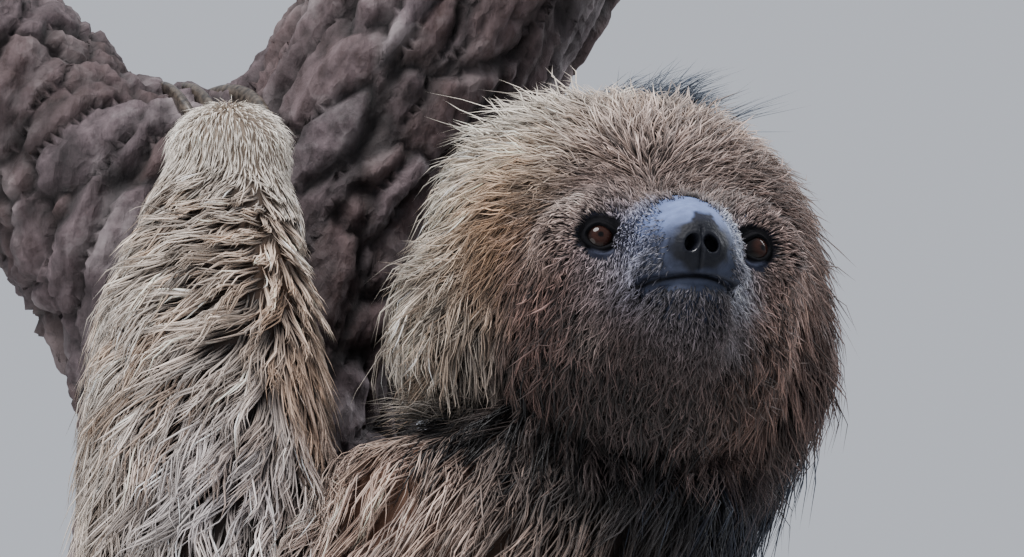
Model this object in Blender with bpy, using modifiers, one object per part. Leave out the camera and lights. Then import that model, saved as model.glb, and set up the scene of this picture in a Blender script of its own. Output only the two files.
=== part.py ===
"""Maned three-toed sloth, life size, clinging to a forked length of trunk that two rods hold over a plain base.

Metres, +Z up. The origin is the centre of the base's underside. The animal hugs the trunk, which stands at PERCH,
hooks its left hand over the fork and looks back over its left shoulder, along -Y. Its outline is that of the coat.
The flesh is modelled as a few blended masses and then parted with thin cuts into the parts a person would name.
"""

from math import atan2, cos, degrees, pi, radians, sin

import bmesh
import bpy
from mathutils import Matrix, Vector, noise

# stand
BASE_SIZE = (0.400, 0.340, 0.022)
BASE_CORNER = 0.024
BASE_EDGE = 0.004
ROD_RADIUS = 0.007
ROD_SPACING = 0.056
ROD_TOP = 0.108  # where the sawn foot of the trunk sits on the rods

# perch
PERCH = Vector((-0.073, 0.045, 0))  # the trunk's axis on the floor
TRUNK_RADIUS = 0.0595
LEFT_BRANCH_RADIUS = 0.0325
RIGHT_BRANCH_RADIUS = 0.0435
FORK_HEIGHT = 0.620
KNOT_SIZE = 0.0022  # how far the bark swells and sinks
SADDLE = Vector((-0.093, 0.045, 0.698))  # the lowest point between the branches

# animal
BODY_BEARING = -34  # degrees, from the trunk's axis to the torso
TORSO_REACH = 0.123  # trunk's axis to the torso's middle
HEAD_CENTRE = Vector((0.044, -0.050, 0.619))
HEAD_YAW, HEAD_PITCH, HEAD_ROLL = 14.5, 12.5, 2  # degrees: turned to its left, raised, tilted
EYE_RADIUS = 0.0062
EYE_PLACE = Vector((0.0218, -0.0458, -0.0058))  # of the left eye, in the head's own frame
NOSTRIL_RADIUS = 0.0021
NOSTRIL_PLACE = Vector((0.0027, -0.0768, -0.0160))
NOSE_PLACE = Vector((0, -0.0655, -0.0108))  # the middle of the bare nose, which is a part of its own
NOSE_SIZE = (0.0138, 0.0170, 0.0140)
MOUTH_PLACE = Vector((0, -0.0690, -0.0258))
MOUTH_HALF_WIDTH = 0.0155
MOUTH_GAP = 0.0008
EAR_SIZE = (0.0055, 0.0080, 0.0100)
EAR_REACH = {-1: 0.0625, 1: 0.0600}  # from the head's middle, on its right and left
CLAW_RADIUS = 0.0046
CLAW_FLATNESS = 0.62  # width over depth
CLAW_SPACING = 0.0105

# joints between the parts
CUT = 0.0003  # a saw cut between two parts of the animal
SEAT = 0.00035  # the clearance left where one piece beds in another

BODY_FACES = 1600
HEAD_FACES = 940
MANE_FACES = 220
PERCH_FACES = 560

COLOURS = {
    "fur": (0.46, 0.40, 0.35, 0.9, 0.0),
    "face_fur": (0.28, 0.22, 0.20, 0.9, 0.0),
    "mane": (0.03, 0.03, 0.035, 0.7, 0.0),
    "nose_skin": (0.05, 0.055, 0.08, 0.45, 0.0),
    "eye": (0.03, 0.02, 0.02, 0.08, 0.0),
    "claw": (0.42, 0.37, 0.29, 0.45, 0.0),
    "bark": (0.17, 0.12, 0.11, 0.95, 0.0),
    "stand_wood": (0.10, 0.07, 0.05, 0.4, 0.0),
    "stand_steel": (0.62, 0.62, 0.64, 0.3, 1.0),
}


def clear_scene():
    for obj in list(bpy.data.objects):
        bpy.data.objects.remove(obj)


def collection(name):
    made = bpy.data.collections.new(name)
    bpy.context.scene.collection.children.link(made)
    return made


def material(name):
    red, green, blue, rough, metal = COLOURS[name]
    made = bpy.data.materials.get(name) or bpy.data.materials.new(name)
    made.use_nodes = True
    shader = made.node_tree.nodes["Principled BSDF"]
    shader.inputs["Base Color"].default_value = (red, green, blue, 1)
    shader.inputs["Roughness"].default_value = rough
    shader.inputs["Metallic"].default_value = metal
    return made


def around(bearing, reach, height):
    """A point at this bearing, in degrees, and distance from the trunk's axis."""
    angle = radians(bearing)
    return PERCH + Vector((reach * cos(angle), reach * sin(angle), height))


def lateral():
    """The animal's left."""
    angle = radians(BODY_BEARING - 90)
    return Vector((cos(angle), sin(angle), 0))


def dorsal():
    """Out of the animal's back."""
    return Vector((cos(radians(BODY_BEARING)), sin(radians(BODY_BEARING)), 0))


def head_frame():
    """The head's own frame: +X its left, -Y out of the face, +Z the crown."""
    turn = (
        Matrix.Rotation(radians(HEAD_YAW), 4, "Z")
        @ Matrix.Rotation(radians(-HEAD_PITCH), 4, "X")
        @ Matrix.Rotation(radians(HEAD_ROLL), 4, "Y")
    )
    return Matrix.Translation(HEAD_CENTRE) @ turn


def axes(along, up):
    """A rotation whose Y runs along a direction and whose Z leans to up."""
    y = along.normalized()
    x = y.cross(up).normalized()
    return Matrix((x, y, x.cross(y))).transposed().to_4x4()


def select_only(objects):
    bpy.ops.object.select_all(action="DESELECT")
    for obj in objects:
        obj.select_set(True)
    bpy.context.view_layer.objects.active = objects[0]


def ball(centre, sizes, frame=None, segments=18, rings=10):
    """An ellipsoid of these half sizes."""
    bpy.ops.mesh.primitive_uv_sphere_add(segments=segments, ring_count=rings, radius=1)
    obj = bpy.context.object
    obj.data.transform(Matrix.Translation(centre) @ (frame or Matrix()) @ Matrix.Diagonal((*sizes, 1)))
    return obj


def tube(points, radii, sides=4, detail=3):
    """A smooth tapering tube through the points, as a mesh."""
    curve = bpy.data.curves.new("tube", "CURVE")
    curve.dimensions = "3D"
    curve.bevel_depth = 1
    curve.bevel_resolution = sides
    curve.resolution_u = detail
    curve.use_fill_caps = True
    spline = curve.splines.new("NURBS")
    spline.points.add(len(points) - 1)
    for place, point, radius in zip(spline.points, points, radii):
        place.co = (*point, 1)
        place.radius = radius
    spline.order_u = 3
    spline.use_endpoint_u = True
    obj = bpy.data.objects.new("tube", curve)
    bpy.context.scene.collection.objects.link(obj)
    return as_mesh(obj)


def as_mesh(obj):
    """The curve made a mesh with its caps welded."""
    graph = bpy.context.evaluated_depsgraph_get()
    mesh = bpy.data.meshes.new_from_object(obj.evaluated_get(graph))
    made = bpy.data.objects.new(obj.name, mesh)
    made.matrix_world = obj.matrix_world
    bpy.context.scene.collection.objects.link(made)
    bpy.data.objects.remove(obj)
    shape = bmesh.new()
    shape.from_mesh(mesh)
    bmesh.ops.remove_doubles(shape, verts=shape.verts, dist=1e-5)
    bmesh.ops.recalc_face_normals(shape, faces=shape.faces)
    shape.to_mesh(mesh)
    shape.free()
    return made


def limb(points, radii):
    """A tube with round ends."""
    ends = [ball(points[i], (radii[i],) * 3) for i in (0, -1)]
    return [tube(points, radii), *ends]


def apply_modifier(obj, kind, **settings):
    modifier = obj.modifiers.new(kind.title(), kind)
    for key, value in settings.items():
        setattr(modifier, key, value)
    select_only([obj])
    bpy.ops.object.modifier_apply(modifier=modifier.name)


def blended(name, masses, voxel, smoothing, faces):
    """One closed skin over overlapping masses, of about this many triangles."""
    select_only(masses)
    bpy.ops.object.join()
    obj = bpy.context.object
    obj.name = name
    apply_modifier(obj, "REMESH", mode="VOXEL", voxel_size=voxel)
    apply_modifier(obj, "SMOOTH", factor=0.5, iterations=smoothing)
    apply_modifier(obj, "TRIANGULATE")
    apply_modifier(obj, "DECIMATE", ratio=min(1, faces / len(obj.data.polygons)))
    apply_modifier(obj, "SMOOTH", factor=0.25, iterations=2)
    return obj


def boolean(obj, other, operation="DIFFERENCE", keep_other=False):
    apply_modifier(obj, "BOOLEAN", operation=operation, object=other, solver="EXACT")
    if not keep_other:
        bpy.data.objects.remove(other)


def grown(obj, distance=SEAT):
    """A copy swollen by the clearance, to cut a seat with."""
    copy = obj.copy()
    copy.data = obj.data.copy()
    bpy.context.scene.collection.objects.link(copy)
    shape = bmesh.new()
    shape.from_mesh(copy.data)
    shape.normal_update()
    for vertex in shape.verts:
        vertex.co += vertex.normal * (distance * min(1.8, vertex.calc_shell_factor()))
    shape.to_mesh(copy.data)
    shape.free()
    return copy


def bed_in(obj, *others):
    """Cuts from obj the seats of the pieces that bed in it, and drops crumbs."""
    for other in others:
        boolean(obj, grown(other))
    return keep_largest(obj)


def islands(obj):
    """The separate bodies of a mesh, as objects, the largest first."""
    select_only([obj])
    bpy.ops.mesh.separate(type="LOOSE")
    found = list(bpy.context.selected_objects)
    return sorted(found, key=volume, reverse=True)


def volume(obj):
    shape = bmesh.new()
    shape.from_mesh(obj.data)
    size = shape.calc_volume()
    shape.free()
    return size


def keep_largest(obj):
    name = obj.name
    first, *crumbs = islands(obj)
    for crumb in crumbs:
        bpy.data.objects.remove(crumb)
    first.name = name
    return first


def slab(point, normal, half_size, thickness=CUT):
    """A thin square plate, to saw with."""
    bpy.ops.mesh.primitive_cube_add(size=1)
    obj = bpy.context.object
    turn = normal.normalized().to_track_quat("Z", "Y").to_matrix().to_4x4()
    size = Matrix.Diagonal((2 * half_size, 2 * half_size, thickness, 1))
    obj.data.transform(Matrix.Translation(point) @ turn @ size)
    return obj


def saw_off(obj, name, point, normal, half_size):
    """Saws obj at a plane. What lies past it along the normal becomes the named part, and the rest is returned."""
    normal = normal.normalized()
    boolean(obj, slab(point, normal, half_size))
    body = obj.name
    pieces = islands(obj)
    past = [p for p in pieces if centre_of(p).dot(normal) > point.dot(normal) + CUT]
    if not past:
        raise ValueError(f"the cut for {name} severed nothing")
    part = max(past, key=volume)
    rest = max((p for p in pieces if p is not part), key=volume)
    for crumb in pieces:
        if crumb is not part and crumb is not rest:
            bpy.data.objects.remove(crumb)
    part.name = name
    rest.name = body
    return rest


def carve(obj, name, zone):
    """Parts obj along the zone's surface. What lies inside becomes the named part, and the rest is returned."""
    body = obj.name
    part = obj.copy()
    part.data = obj.data.copy()
    bpy.context.scene.collection.objects.link(part)
    boolean(part, zone, operation="INTERSECT", keep_other=True)
    part.name = name
    keep_largest(part)
    boolean(obj, grown(zone, CUT))
    bpy.data.objects.remove(zone)
    rest = keep_largest(obj)
    rest.name = body
    return rest


def centre_of(obj):
    total = sum((v.co for v in obj.data.vertices), Vector())
    return total / len(obj.data.vertices)


# ---- stand and perch


def make_stand():
    bpy.ops.mesh.primitive_cube_add(size=1, location=(0, 0, BASE_SIZE[2] / 2))
    base = bpy.context.object
    base.name = "stand_base"
    base.scale = BASE_SIZE
    bpy.ops.object.transform_apply(location=True, scale=True)
    round_edges(base)
    length = ROD_TOP - BASE_SIZE[2] - 2 * SEAT
    for side in (-1, 1):
        place = PERCH + Vector((side * ROD_SPACING / 2, 0, BASE_SIZE[2] + SEAT + length / 2))
        bpy.ops.mesh.primitive_cylinder_add(vertices=20, radius=ROD_RADIUS, depth=length, location=place)
        rod = bpy.context.object
        rod.name = "stand_rod_left" if side < 0 else "stand_rod_right"


def round_edges(obj):
    """Rounds the base's corners and its top edge, and leaves its underside flat."""
    shape = bmesh.new()
    shape.from_mesh(obj.data)
    upright = [e for e in shape.edges if abs(e.verts[0].co.z - e.verts[1].co.z) > 0.001]
    bmesh.ops.bevel(shape, geom=upright, offset=BASE_CORNER, segments=4, affect="EDGES", profile=0.5)
    top = [e for e in shape.edges if min(v.co.z for v in e.verts) > BASE_SIZE[2] - 0.0001]
    top = [e for e in top if any(abs(f.normal.z) < 0.5 for f in e.link_faces)]
    bmesh.ops.bevel(shape, geom=top, offset=BASE_EDGE, segments=2, affect="EDGES", profile=0.5)
    shape.to_mesh(obj.data)
    shape.free()


def make_perch():
    """The trunk and the roots of its two branches, sawn square at all three ends."""
    foot, fork = PERCH.copy(), PERCH + Vector((0, 0, FORK_HEIGHT))
    foot.z = ROD_TOP - 0.03
    sag = Vector((0.006, 0, 0.35))
    left_end = fork + Vector((-0.108, 0, 0.105))
    right_end = fork + Vector((0.098, 0, 0.146))
    trunk = tube(
        [foot, PERCH + sag, fork + Vector((0, 0, -0.08)), fork + Vector((0, 0, 0.012))],
        [TRUNK_RADIUS + 0.003, TRUNK_RADIUS, TRUNK_RADIUS, 0.046],
        sides=6,
    )
    left = tube(
        [fork + Vector((0.004, 0, -0.06)), fork + Vector((-0.022, 0, 0.030)), left_end + (left_end - fork) * 0.2],
        [0.046, LEFT_BRANCH_RADIUS + 0.004, LEFT_BRANCH_RADIUS],
        sides=6,
    )
    right = tube(
        [fork + Vector((-0.006, 0, -0.07)), fork + Vector((0.014, 0, 0.050)), right_end + (right_end - fork) * 0.2],
        [0.050, RIGHT_BRANCH_RADIUS + 0.003, RIGHT_BRANCH_RADIUS],
        sides=6,
    )
    web = ball(SADDLE - Vector((0, 0, 0.034)), (0.028, 0.038, 0.034))
    perch = blended("perch_trunk", [trunk, left, right, web], voxel=0.005, smoothing=4, faces=PERCH_FACES)
    for vertex in perch.data.vertices:
        swell = noise.noise(vertex.co * 22) + 0.5 * noise.noise(vertex.co * 55)
        vertex.co += vertex.normal * swell * KNOT_SIZE
    shape = bmesh.new()
    shape.from_mesh(perch.data)
    saw_flat(shape, Vector((0, 0, ROD_TOP)), Vector((0, 0, -1)))
    saw_flat(shape, left_end, Vector((-0.80, 0, 0.60)))
    saw_flat(shape, right_end, Vector((0.70, 0, 0.71)))
    shape.to_mesh(perch.data)
    shape.free()
    return perch


def saw_flat(shape, point, normal):
    """Cuts off what lies past the plane and closes the cut with a flat face."""
    whole = shape.verts[:] + shape.edges[:] + shape.faces[:]
    cut = bmesh.ops.bisect_plane(shape, geom=whole, plane_co=point, plane_no=normal, clear_outer=True)
    edges = [e for e in cut["geom_cut"] if isinstance(e, bmesh.types.BMEdge)]
    bmesh.ops.triangle_fill(shape, edges=edges, use_beauty=True, normal=normal)
    bmesh.ops.recalc_face_normals(shape, faces=shape.faces)


# ---- the animal's flesh and coat, as one outline


def torso_point(height, reach=TORSO_REACH, side=0.0):
    return around(BODY_BEARING, reach, height) + lateral() * side


ARM_LEFT = {
    "shoulder": Vector((0.005, -0.060, 0.535)),
    "elbow": Vector((-0.080, -0.076, 0.472)),
    "forearm": [
        Vector((-0.0775, -0.062, 0.535)),
        Vector((-0.0770, -0.056, 0.585)),
        Vector((-0.0755, -0.049, 0.618)),
    ],
    "wrist": Vector((-0.0745, -0.040, 0.643)),
    "radii": (0.036, 0.0385, 0.0375, 0.0345, 0.0245),
    "palm": [Vector((-0.0735, -0.036, 0.647)), Vector((-0.0715, -0.018, 0.666))],
}
ARM_RIGHT = {
    "shoulder": torso_point(0.500, side=-0.050),
    "elbow": around(36, 0.118, 0.447),
    "forearm": [around(58, 0.104, 0.462), around(78, 0.093, 0.480)],
    "wrist": around(98, 0.084, 0.494),
    "radii": (0.034, 0.033, 0.030, 0.022),
    "palm": [around(103, 0.081, 0.496), around(143, 0.070, 0.506)],
}


def leg(side, lift):
    """side is -1 for the left leg and 1 for the right one, which hugs the trunk from the other side."""
    return {
        "hip": around(BODY_BEARING + 17 * side, 0.128, 0.255 + lift / 2),
        "knee": around(BODY_BEARING + 54 * side, 0.118, 0.312 + lift),
        "shin": around(BODY_BEARING + 82 * side, 0.102, 0.280 + lift),
        "ankle": around(BODY_BEARING + 108 * side, 0.083, 0.246 + lift),
        "palm": [
            around(BODY_BEARING + 112 * side, 0.080, 0.242 + lift),
            around(BODY_BEARING + 146 * side, 0.073, 0.226 + lift),
        ],
    }


LEG_LEFT = leg(-1, 0.0)
LEG_RIGHT = leg(1, 0.018)


def paw(palm, half_width, half_thickness):
    """The back of a hand or foot that lies flat on the trunk."""
    start, end = palm
    middle = (start + end) / 2
    length = (end - start).length / 2 + 0.010
    return ball(middle, (half_width, length, half_thickness), axes(end - start, outward(middle)))


def outward(point):
    """Away from the trunk's axis, or up for a hand that lies over the fork."""
    if point.z > FORK_HEIGHT:
        return Vector((0, 0, 1))
    return Vector((point.x - PERCH.x, point.y - PERCH.y, 0)).normalized()


def arm_masses(arm):
    route = [arm["elbow"], *arm["forearm"], arm["wrist"]]
    middle = (arm["shoulder"] + arm["elbow"]) / 2 - Vector((0, 0, 0.010))
    masses = limb([arm["shoulder"], middle, arm["elbow"]], [0.043, 0.036, 0.035])
    masses += limb(route, arm["radii"])
    if arm is ARM_LEFT:
        masses += limb([arm["wrist"], (arm["wrist"] + arm["palm"][1]) / 2, arm["palm"][1]], [0.0245, 0.0205, 0.0130])
    else:
        masses.append(paw(arm["palm"], 0.0180, 0.0105))
    return masses


def leg_masses(parts):
    masses = limb([parts["hip"], (parts["hip"] + parts["knee"]) / 2, parts["knee"]], [0.052, 0.045, 0.037])
    masses += limb([parts["knee"], parts["shin"], parts["ankle"]], [0.036, 0.031, 0.021])
    masses.append(paw(parts["palm"], 0.0180, 0.0110))
    return masses


def make_body():
    """Torso, limbs, neck and tail in one outline."""
    upright = axes(lateral().cross(Vector((0, 0, 1))), Vector((0, 0, 1)))
    masses = [
        ball(torso_point(0.478), (0.076, 0.064, 0.082), upright),
        ball(torso_point(0.435, 0.126), (0.082, 0.071, 0.085), upright),
        ball(torso_point(0.380, 0.130), (0.087, 0.077, 0.108), upright),
        ball(torso_point(0.325, 0.130), (0.083, 0.074, 0.085), upright),
        ball(torso_point(0.278, 0.126), (0.077, 0.069, 0.086), upright),
        ball(torso_point(0.220, 0.130), (0.054, 0.052, 0.050), upright),
    ]
    throat = HEAD_CENTRE + Vector((-0.004, 0.004, -0.035))
    masses += limb([torso_point(0.505), torso_point(0.545, 0.128), throat], [0.052, 0.048, 0.043])
    masses += limb([torso_point(0.203, 0.152), torso_point(0.138, 0.192)], [0.0175, 0.0115])
    for arm in (ARM_LEFT, ARM_RIGHT):
        masses += arm_masses(arm)
    for parts in (LEG_LEFT, LEG_RIGHT):
        masses += leg_masses(parts)
    return blended("torso", masses, voxel=0.0045, smoothing=5, faces=BODY_FACES)


def make_mane():
    """The long black hair of the nape, which falls between the shoulders."""
    frame = axes(lateral().cross(Vector((0, 0, 1))), Vector((0, 0, 1)))
    masses = [
        ball(Vector((0.060, -0.004, 0.636)), (0.034, 0.026, 0.043)),
        ball(Vector((0.066, -0.010, 0.592)), (0.037, 0.032, 0.046)),
        ball(Vector((0.054, -0.022, 0.548)), (0.031, 0.031, 0.045)),
        ball(torso_point(0.478, 0.176), (0.046, 0.019, 0.052), frame),
        ball(torso_point(0.432, 0.190), (0.032, 0.014, 0.054), frame),
    ]
    return blended("mane", masses, voxel=0.004, smoothing=4, faces=MANE_FACES)


# ---- head


def make_head():
    """Skull, muzzle, jaw and the ruff of long cheek hair, in the head's own frame."""
    masses = [
        ball(Vector((0.001, 0.004, 0.006)), (0.0585, 0.055, 0.0535)),  # crown
        ball(Vector((0, -0.026, -0.012)), (0.042, 0.030, 0.036)),  # face
        ball(Vector((0, -0.012, -0.026)), (0.044, 0.037, 0.0305)),  # throat
        ball(Vector((-0.031, 0.006, 0.024)), (0.0255, 0.028, 0.0255)),  # right temple
        ball(Vector((-0.040, 0.010, -0.010)), (0.034, 0.030, 0.037)),  # right ruff
        ball(Vector((-0.050, 0.014, -0.018)), (0.023, 0.024, 0.026)),
        ball(Vector((0.037, 0.010, -0.010)), (0.031, 0.032, 0.045)),  # left ruff
        ball(Vector((-0.010, 0.004, 0.044)), (0.034, 0.030, 0.018)),  # tuft of the crown
        *limb(
            [Vector((0, -0.030, -0.0105)), Vector((0, -0.052, -0.0105)), Vector((0, -0.0645, -0.0145))],
            [0.0245, 0.0185, 0.0132],
        ),  # muzzle
        *limb([Vector((0, -0.030, -0.032)), Vector((0, -0.0545, -0.0305))], [0.0205, 0.0120]),  # jaw
        *[ball(Vector((side * 0.0165, -0.041, 0.0035)), (0.013, 0.011, 0.008)) for side in (-1, 1)],  # brows
    ]
    head = blended("head", masses, voxel=0.0026, smoothing=6, faces=HEAD_FACES)
    boolean(head, slab(MOUTH_PLACE, Vector((0, 0.10, 1)), MOUTH_HALF_WIDTH, thickness=MOUTH_GAP))
    for side in (-1, 1):
        nostril = NOSTRIL_PLACE * 1
        nostril.x *= side
        boolean(head, ball(nostril, (NOSTRIL_RADIUS, 0.0042, NOSTRIL_RADIUS), segments=8, rings=6))
    head = keep_largest(head)
    return carve(head, "nose", ball(NOSE_PLACE, NOSE_SIZE, segments=12, rings=7))


def make_eyes():
    eyes = []
    for name, side in (("eye_right", -1), ("eye_left", 1)):
        place = EYE_PLACE * 1
        place.x *= side
        eye = ball(place, (EYE_RADIUS,) * 3, segments=12, rings=7)
        eye.name = name
        eyes.append(eye)
    return eyes


def make_ears():
    """Small round ears, nearly lost in the ruff."""
    ears = []
    for name, side in (("ear_right", -1), ("ear_left", 1)):
        lean = Matrix.Rotation(radians(-18 * side), 4, "Y") @ Matrix.Rotation(radians(24 * side), 4, "Z")
        ear = ball(Vector((side * EAR_REACH[side], -0.001, 0.013)), EAR_SIZE, lean, segments=10, rings=6)
        ear.name = name
        ears.append(ear)
    return ears


# ---- claws


def claw(name, points):
    """A hooked claw, deeper than wide, along points that run from its root to its tip."""
    last = len(points) - 1
    radii = [CLAW_RADIUS * (1 - 0.82 * (step / last) ** 1.6) for step in range(last + 1)]
    obj = tube(points, radii, sides=1, detail=1)
    obj.name = name
    middle = points[last // 2]
    across = (points[-1] - points[0]).cross(middle - points[0]).normalized()
    for vertex in obj.data.vertices:
        vertex.co -= across * (vertex.co - middle).dot(across) * (1 - CLAW_FLATNESS)
    return obj


def on_bark(perch, near, lift):
    """The place over, or under, the bark that is nearest a point."""
    _, place, normal, _ = perch.closest_point_on_mesh(near)
    return place + normal * lift


def trunk_claws(perch, name, palm, turn, lengths):
    """Three claws that reach on round the trunk from a hand or foot, side by side up its height."""
    end = palm[1]
    bearing = degrees(atan2(end.y - PERCH.y, end.x - PERCH.x))
    slope = (palm[1].z - palm[0].z) * 0.5
    claws = []
    for number, length in enumerate(lengths, start=1):
        rise = (number - 2) * CLAW_SPACING
        points = []
        for step in range(7):
            share = step / 6
            near = around(bearing + turn * (length * share - 4), TRUNK_RADIUS, end.z + rise + slope * share)
            points.append(on_bark(perch, near, 0.0085 + 0.0040 * sin(pi * share) - 0.0120 * share**3))
        claws.append(claw(f"{name}_{number}", points))
    return claws


def fork_claws(perch, name, palm, lengths):
    """Three claws that hook back over the saddle of the fork, sunk in its bark, and dig in behind it."""
    claws = []
    for number, length in enumerate(lengths, start=1):
        shift = (number - 2) * CLAW_SPACING
        points = []
        for step in range(7):
            share = step / 6
            sideways = shift * (0.85 - 0.25 * share) - 0.003
            near = palm[1].lerp(SADDLE, share * length) + Vector((sideways, 0.004, 0.012 * sin(pi * share)))
            points.append(on_bark(perch, near, 0.0030 * (1 - share) - 0.0030 * share))
        claws.append(claw(f"{name}_{number}", points))
    return claws


def make_claws(perch):
    return {
        "arm_left": fork_claws(perch, "claw_hand_left", ARM_LEFT["palm"], (1.10, 1.18, 1.10)),
        "arm_right": trunk_claws(perch, "claw_hand_right", ARM_RIGHT["palm"], 1, (58, 63, 56)),
        "leg_left": trunk_claws(perch, "claw_foot_left", LEG_LEFT["palm"], -1, (46, 50, 44)),
        "leg_right": trunk_claws(perch, "claw_foot_right", LEG_RIGHT["palm"], 1, (46, 50, 44)),
    }


# ---- parting the animal


def bisector(before, at, after):
    """The normal of the plane that halves a bent joint, pointing on along the limb."""
    return ((after - at).normalized() - (before - at).normalized()).normalized()


def part_arm(body, name, arm):
    """Saws off the hand, then the forearm, and returns the rest."""
    wrist, elbow = arm["wrist"], arm["elbow"]
    to_hand = arm["palm"][1] - wrist
    body = saw_off(body, f"hand_{name}", wrist + to_hand * 0.06, to_hand, 0.034)
    onward = bisector(arm["shoulder"], elbow, arm["forearm"][0])
    inner = ((arm["shoulder"] - elbow).normalized() + (arm["forearm"][0] - elbow).normalized()).normalized()
    return saw_off(body, f"forearm_{name}", elbow + inner * 0.040 + onward * 0.004, onward, 0.088)


def part_leg(body, name, parts):
    knee, ankle = parts["knee"], parts["ankle"]
    to_toes = parts["palm"][1] - ankle
    body = saw_off(body, f"foot_{name}", ankle + to_toes * 0.04, to_toes, 0.034)
    onward = bisector(parts["hip"], knee, parts["shin"])
    inner = ((parts["hip"] - knee).normalized() + (parts["shin"] - knee).normalized()).normalized()
    return saw_off(body, f"shin_{name}", knee + inner * 0.012 + onward * 0.004, onward, 0.060)


def part_body(body):
    body = part_arm(body, "left", ARM_LEFT)
    body = part_arm(body, "right", ARM_RIGHT)
    body = part_leg(body, "left", LEG_LEFT)
    body = part_leg(body, "right", LEG_RIGHT)
    tail = torso_point(0.138, 0.192) - torso_point(0.203, 0.152)
    body = saw_off(body, "tail", torso_point(0.203, 0.152) + tail * 0.40, tail, 0.026)
    for name, arm in (("left", ARM_LEFT), ("right", ARM_RIGHT)):
        body = carve(body, f"upper_arm_{name}", limb_zone(arm["shoulder"], arm["elbow"], 0.050))
    for name, parts in (("left", LEG_LEFT), ("right", LEG_RIGHT)):
        body = carve(body, f"thigh_{name}", limb_zone(parts["hip"], parts["knee"], 0.058))
    return saw_off(body, "neck", torso_point(0.551, 0.128), Vector((0.12, -0.27, 0.95)), 0.080)


def limb_zone(root, end, radius):
    """What a limb's upper length takes of the body: a capsule that reaches well past its end."""
    onward = (end - root).normalized()
    return blended("zone", limb([root + onward * 0.008, end + onward * 0.06], [radius, radius]), 0.008, 2, 100)


SLOTS = {
    "stand_base": "stand_wood",
    "stand_rod": "stand_steel",
    "perch": "bark",
    "claw": "claw",
    "eye": "eye",
    "nose": "nose_skin",
    "mane": "mane",
    "head": "face_fur",
}


def tidy(obj):
    """Drops the points that a cut left in the middle of flat faces."""
    shape = bmesh.new()
    shape.from_mesh(obj.data)
    bmesh.ops.dissolve_limit(shape, angle_limit=radians(0.3), verts=shape.verts, edges=shape.edges)
    bmesh.ops.triangulate(shape, faces=shape.faces)
    shape.to_mesh(obj.data)
    shape.free()


def finish_part(obj, home):
    """Gives the part its material, smooth shading and collection."""
    slot = next((SLOTS[key] for key in SLOTS if obj.name.startswith(key)), "fur")
    tidy(obj)
    obj.data.materials.clear()
    obj.data.materials.append(material(slot))
    obj.data.shade_smooth()
    obj.data.set_sharp_from_angle(angle=radians(40))
    for owner in list(obj.users_collection):
        owner.objects.unlink(obj)
    home.objects.link(obj)


def main():
    clear_scene()
    make_stand()
    perch = make_perch()
    body = make_body()
    mane = make_mane()
    claws = make_claws(perch)

    for hooks in claws.values():
        for hook in hooks:
            boolean(perch, grown(hook))
    perch = keep_largest(perch)
    nape = grown(mane, 2.5 * SEAT)
    boolean(body, nape, keep_other=True)
    boolean(mane, body, keep_other=True)
    body = bed_in(body, perch, *[hook for hooks in claws.values() for hook in hooks])
    above_neck = slab(HEAD_CENTRE + Vector((-0.002, 0.004, -0.002)), Vector((0, 0, 1)), 0.062, thickness=0.100)
    boolean(body, above_neck)
    body = keep_largest(body)

    head = make_head()
    features = [*make_eyes(), *make_ears()]
    for feature in features:
        boolean(head, grown(feature))
    for obj in (head, bpy.data.objects["nose"], *features):
        obj.data.transform(head_frame())
    for obj in (head, *features[2:]):
        boolean(obj, nape, keep_other=True)
    bpy.data.objects.remove(nape)
    bed_in(head, body, perch)
    bed_in(mane, perch)

    part_body(body)
    home = collection("maned_sloth")
    for obj in list(bpy.context.scene.objects):
        finish_part(obj, home)


main()
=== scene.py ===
from math import cos, pi, radians, sin

import bpy
import numpy as np
from mathutils import Matrix, Vector
from mathutils.bvhtree import BVHTree
from mathutils.kdtree import KDTree


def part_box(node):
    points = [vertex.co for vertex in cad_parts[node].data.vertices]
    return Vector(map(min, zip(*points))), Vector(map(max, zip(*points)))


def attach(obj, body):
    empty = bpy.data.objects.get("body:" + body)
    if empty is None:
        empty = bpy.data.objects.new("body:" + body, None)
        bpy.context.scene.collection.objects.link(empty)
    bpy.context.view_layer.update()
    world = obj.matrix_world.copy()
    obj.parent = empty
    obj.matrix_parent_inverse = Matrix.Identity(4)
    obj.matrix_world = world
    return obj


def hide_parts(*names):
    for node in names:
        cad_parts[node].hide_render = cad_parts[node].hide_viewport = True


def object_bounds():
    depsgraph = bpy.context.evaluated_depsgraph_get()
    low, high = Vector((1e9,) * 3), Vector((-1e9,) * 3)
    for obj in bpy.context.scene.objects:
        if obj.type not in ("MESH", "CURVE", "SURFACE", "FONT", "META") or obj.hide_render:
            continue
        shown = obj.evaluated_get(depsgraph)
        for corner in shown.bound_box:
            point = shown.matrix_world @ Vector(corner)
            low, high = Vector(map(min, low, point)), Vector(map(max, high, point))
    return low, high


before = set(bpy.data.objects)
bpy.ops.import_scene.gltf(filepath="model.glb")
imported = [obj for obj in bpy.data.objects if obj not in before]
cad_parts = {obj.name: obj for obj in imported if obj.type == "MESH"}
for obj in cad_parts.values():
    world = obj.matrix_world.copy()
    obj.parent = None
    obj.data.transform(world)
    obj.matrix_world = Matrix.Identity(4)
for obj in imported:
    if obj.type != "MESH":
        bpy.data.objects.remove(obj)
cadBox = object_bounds()
dice = np.random.default_rng(7)

# where the head is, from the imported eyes
# its own frame is in mm, with x to its left, -y out of the face and z up to the crown

headPose = {"yaw": 14.5, "pitch": 12.5, "roll": 2.0}  # degrees: turned to its left, raised, tilted
eyeball = {  # mm, and degrees for the opening of the lids and the way it is turned out
    "radius": 6.2, "apart": 43.6, "forward": -45.8, "up": -5.8, "lid": 0.7, "opening": 36, "turnedOut": 12,
}


def middleOf(node):
    low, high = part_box(node)
    return (low + high) / 2


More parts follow.
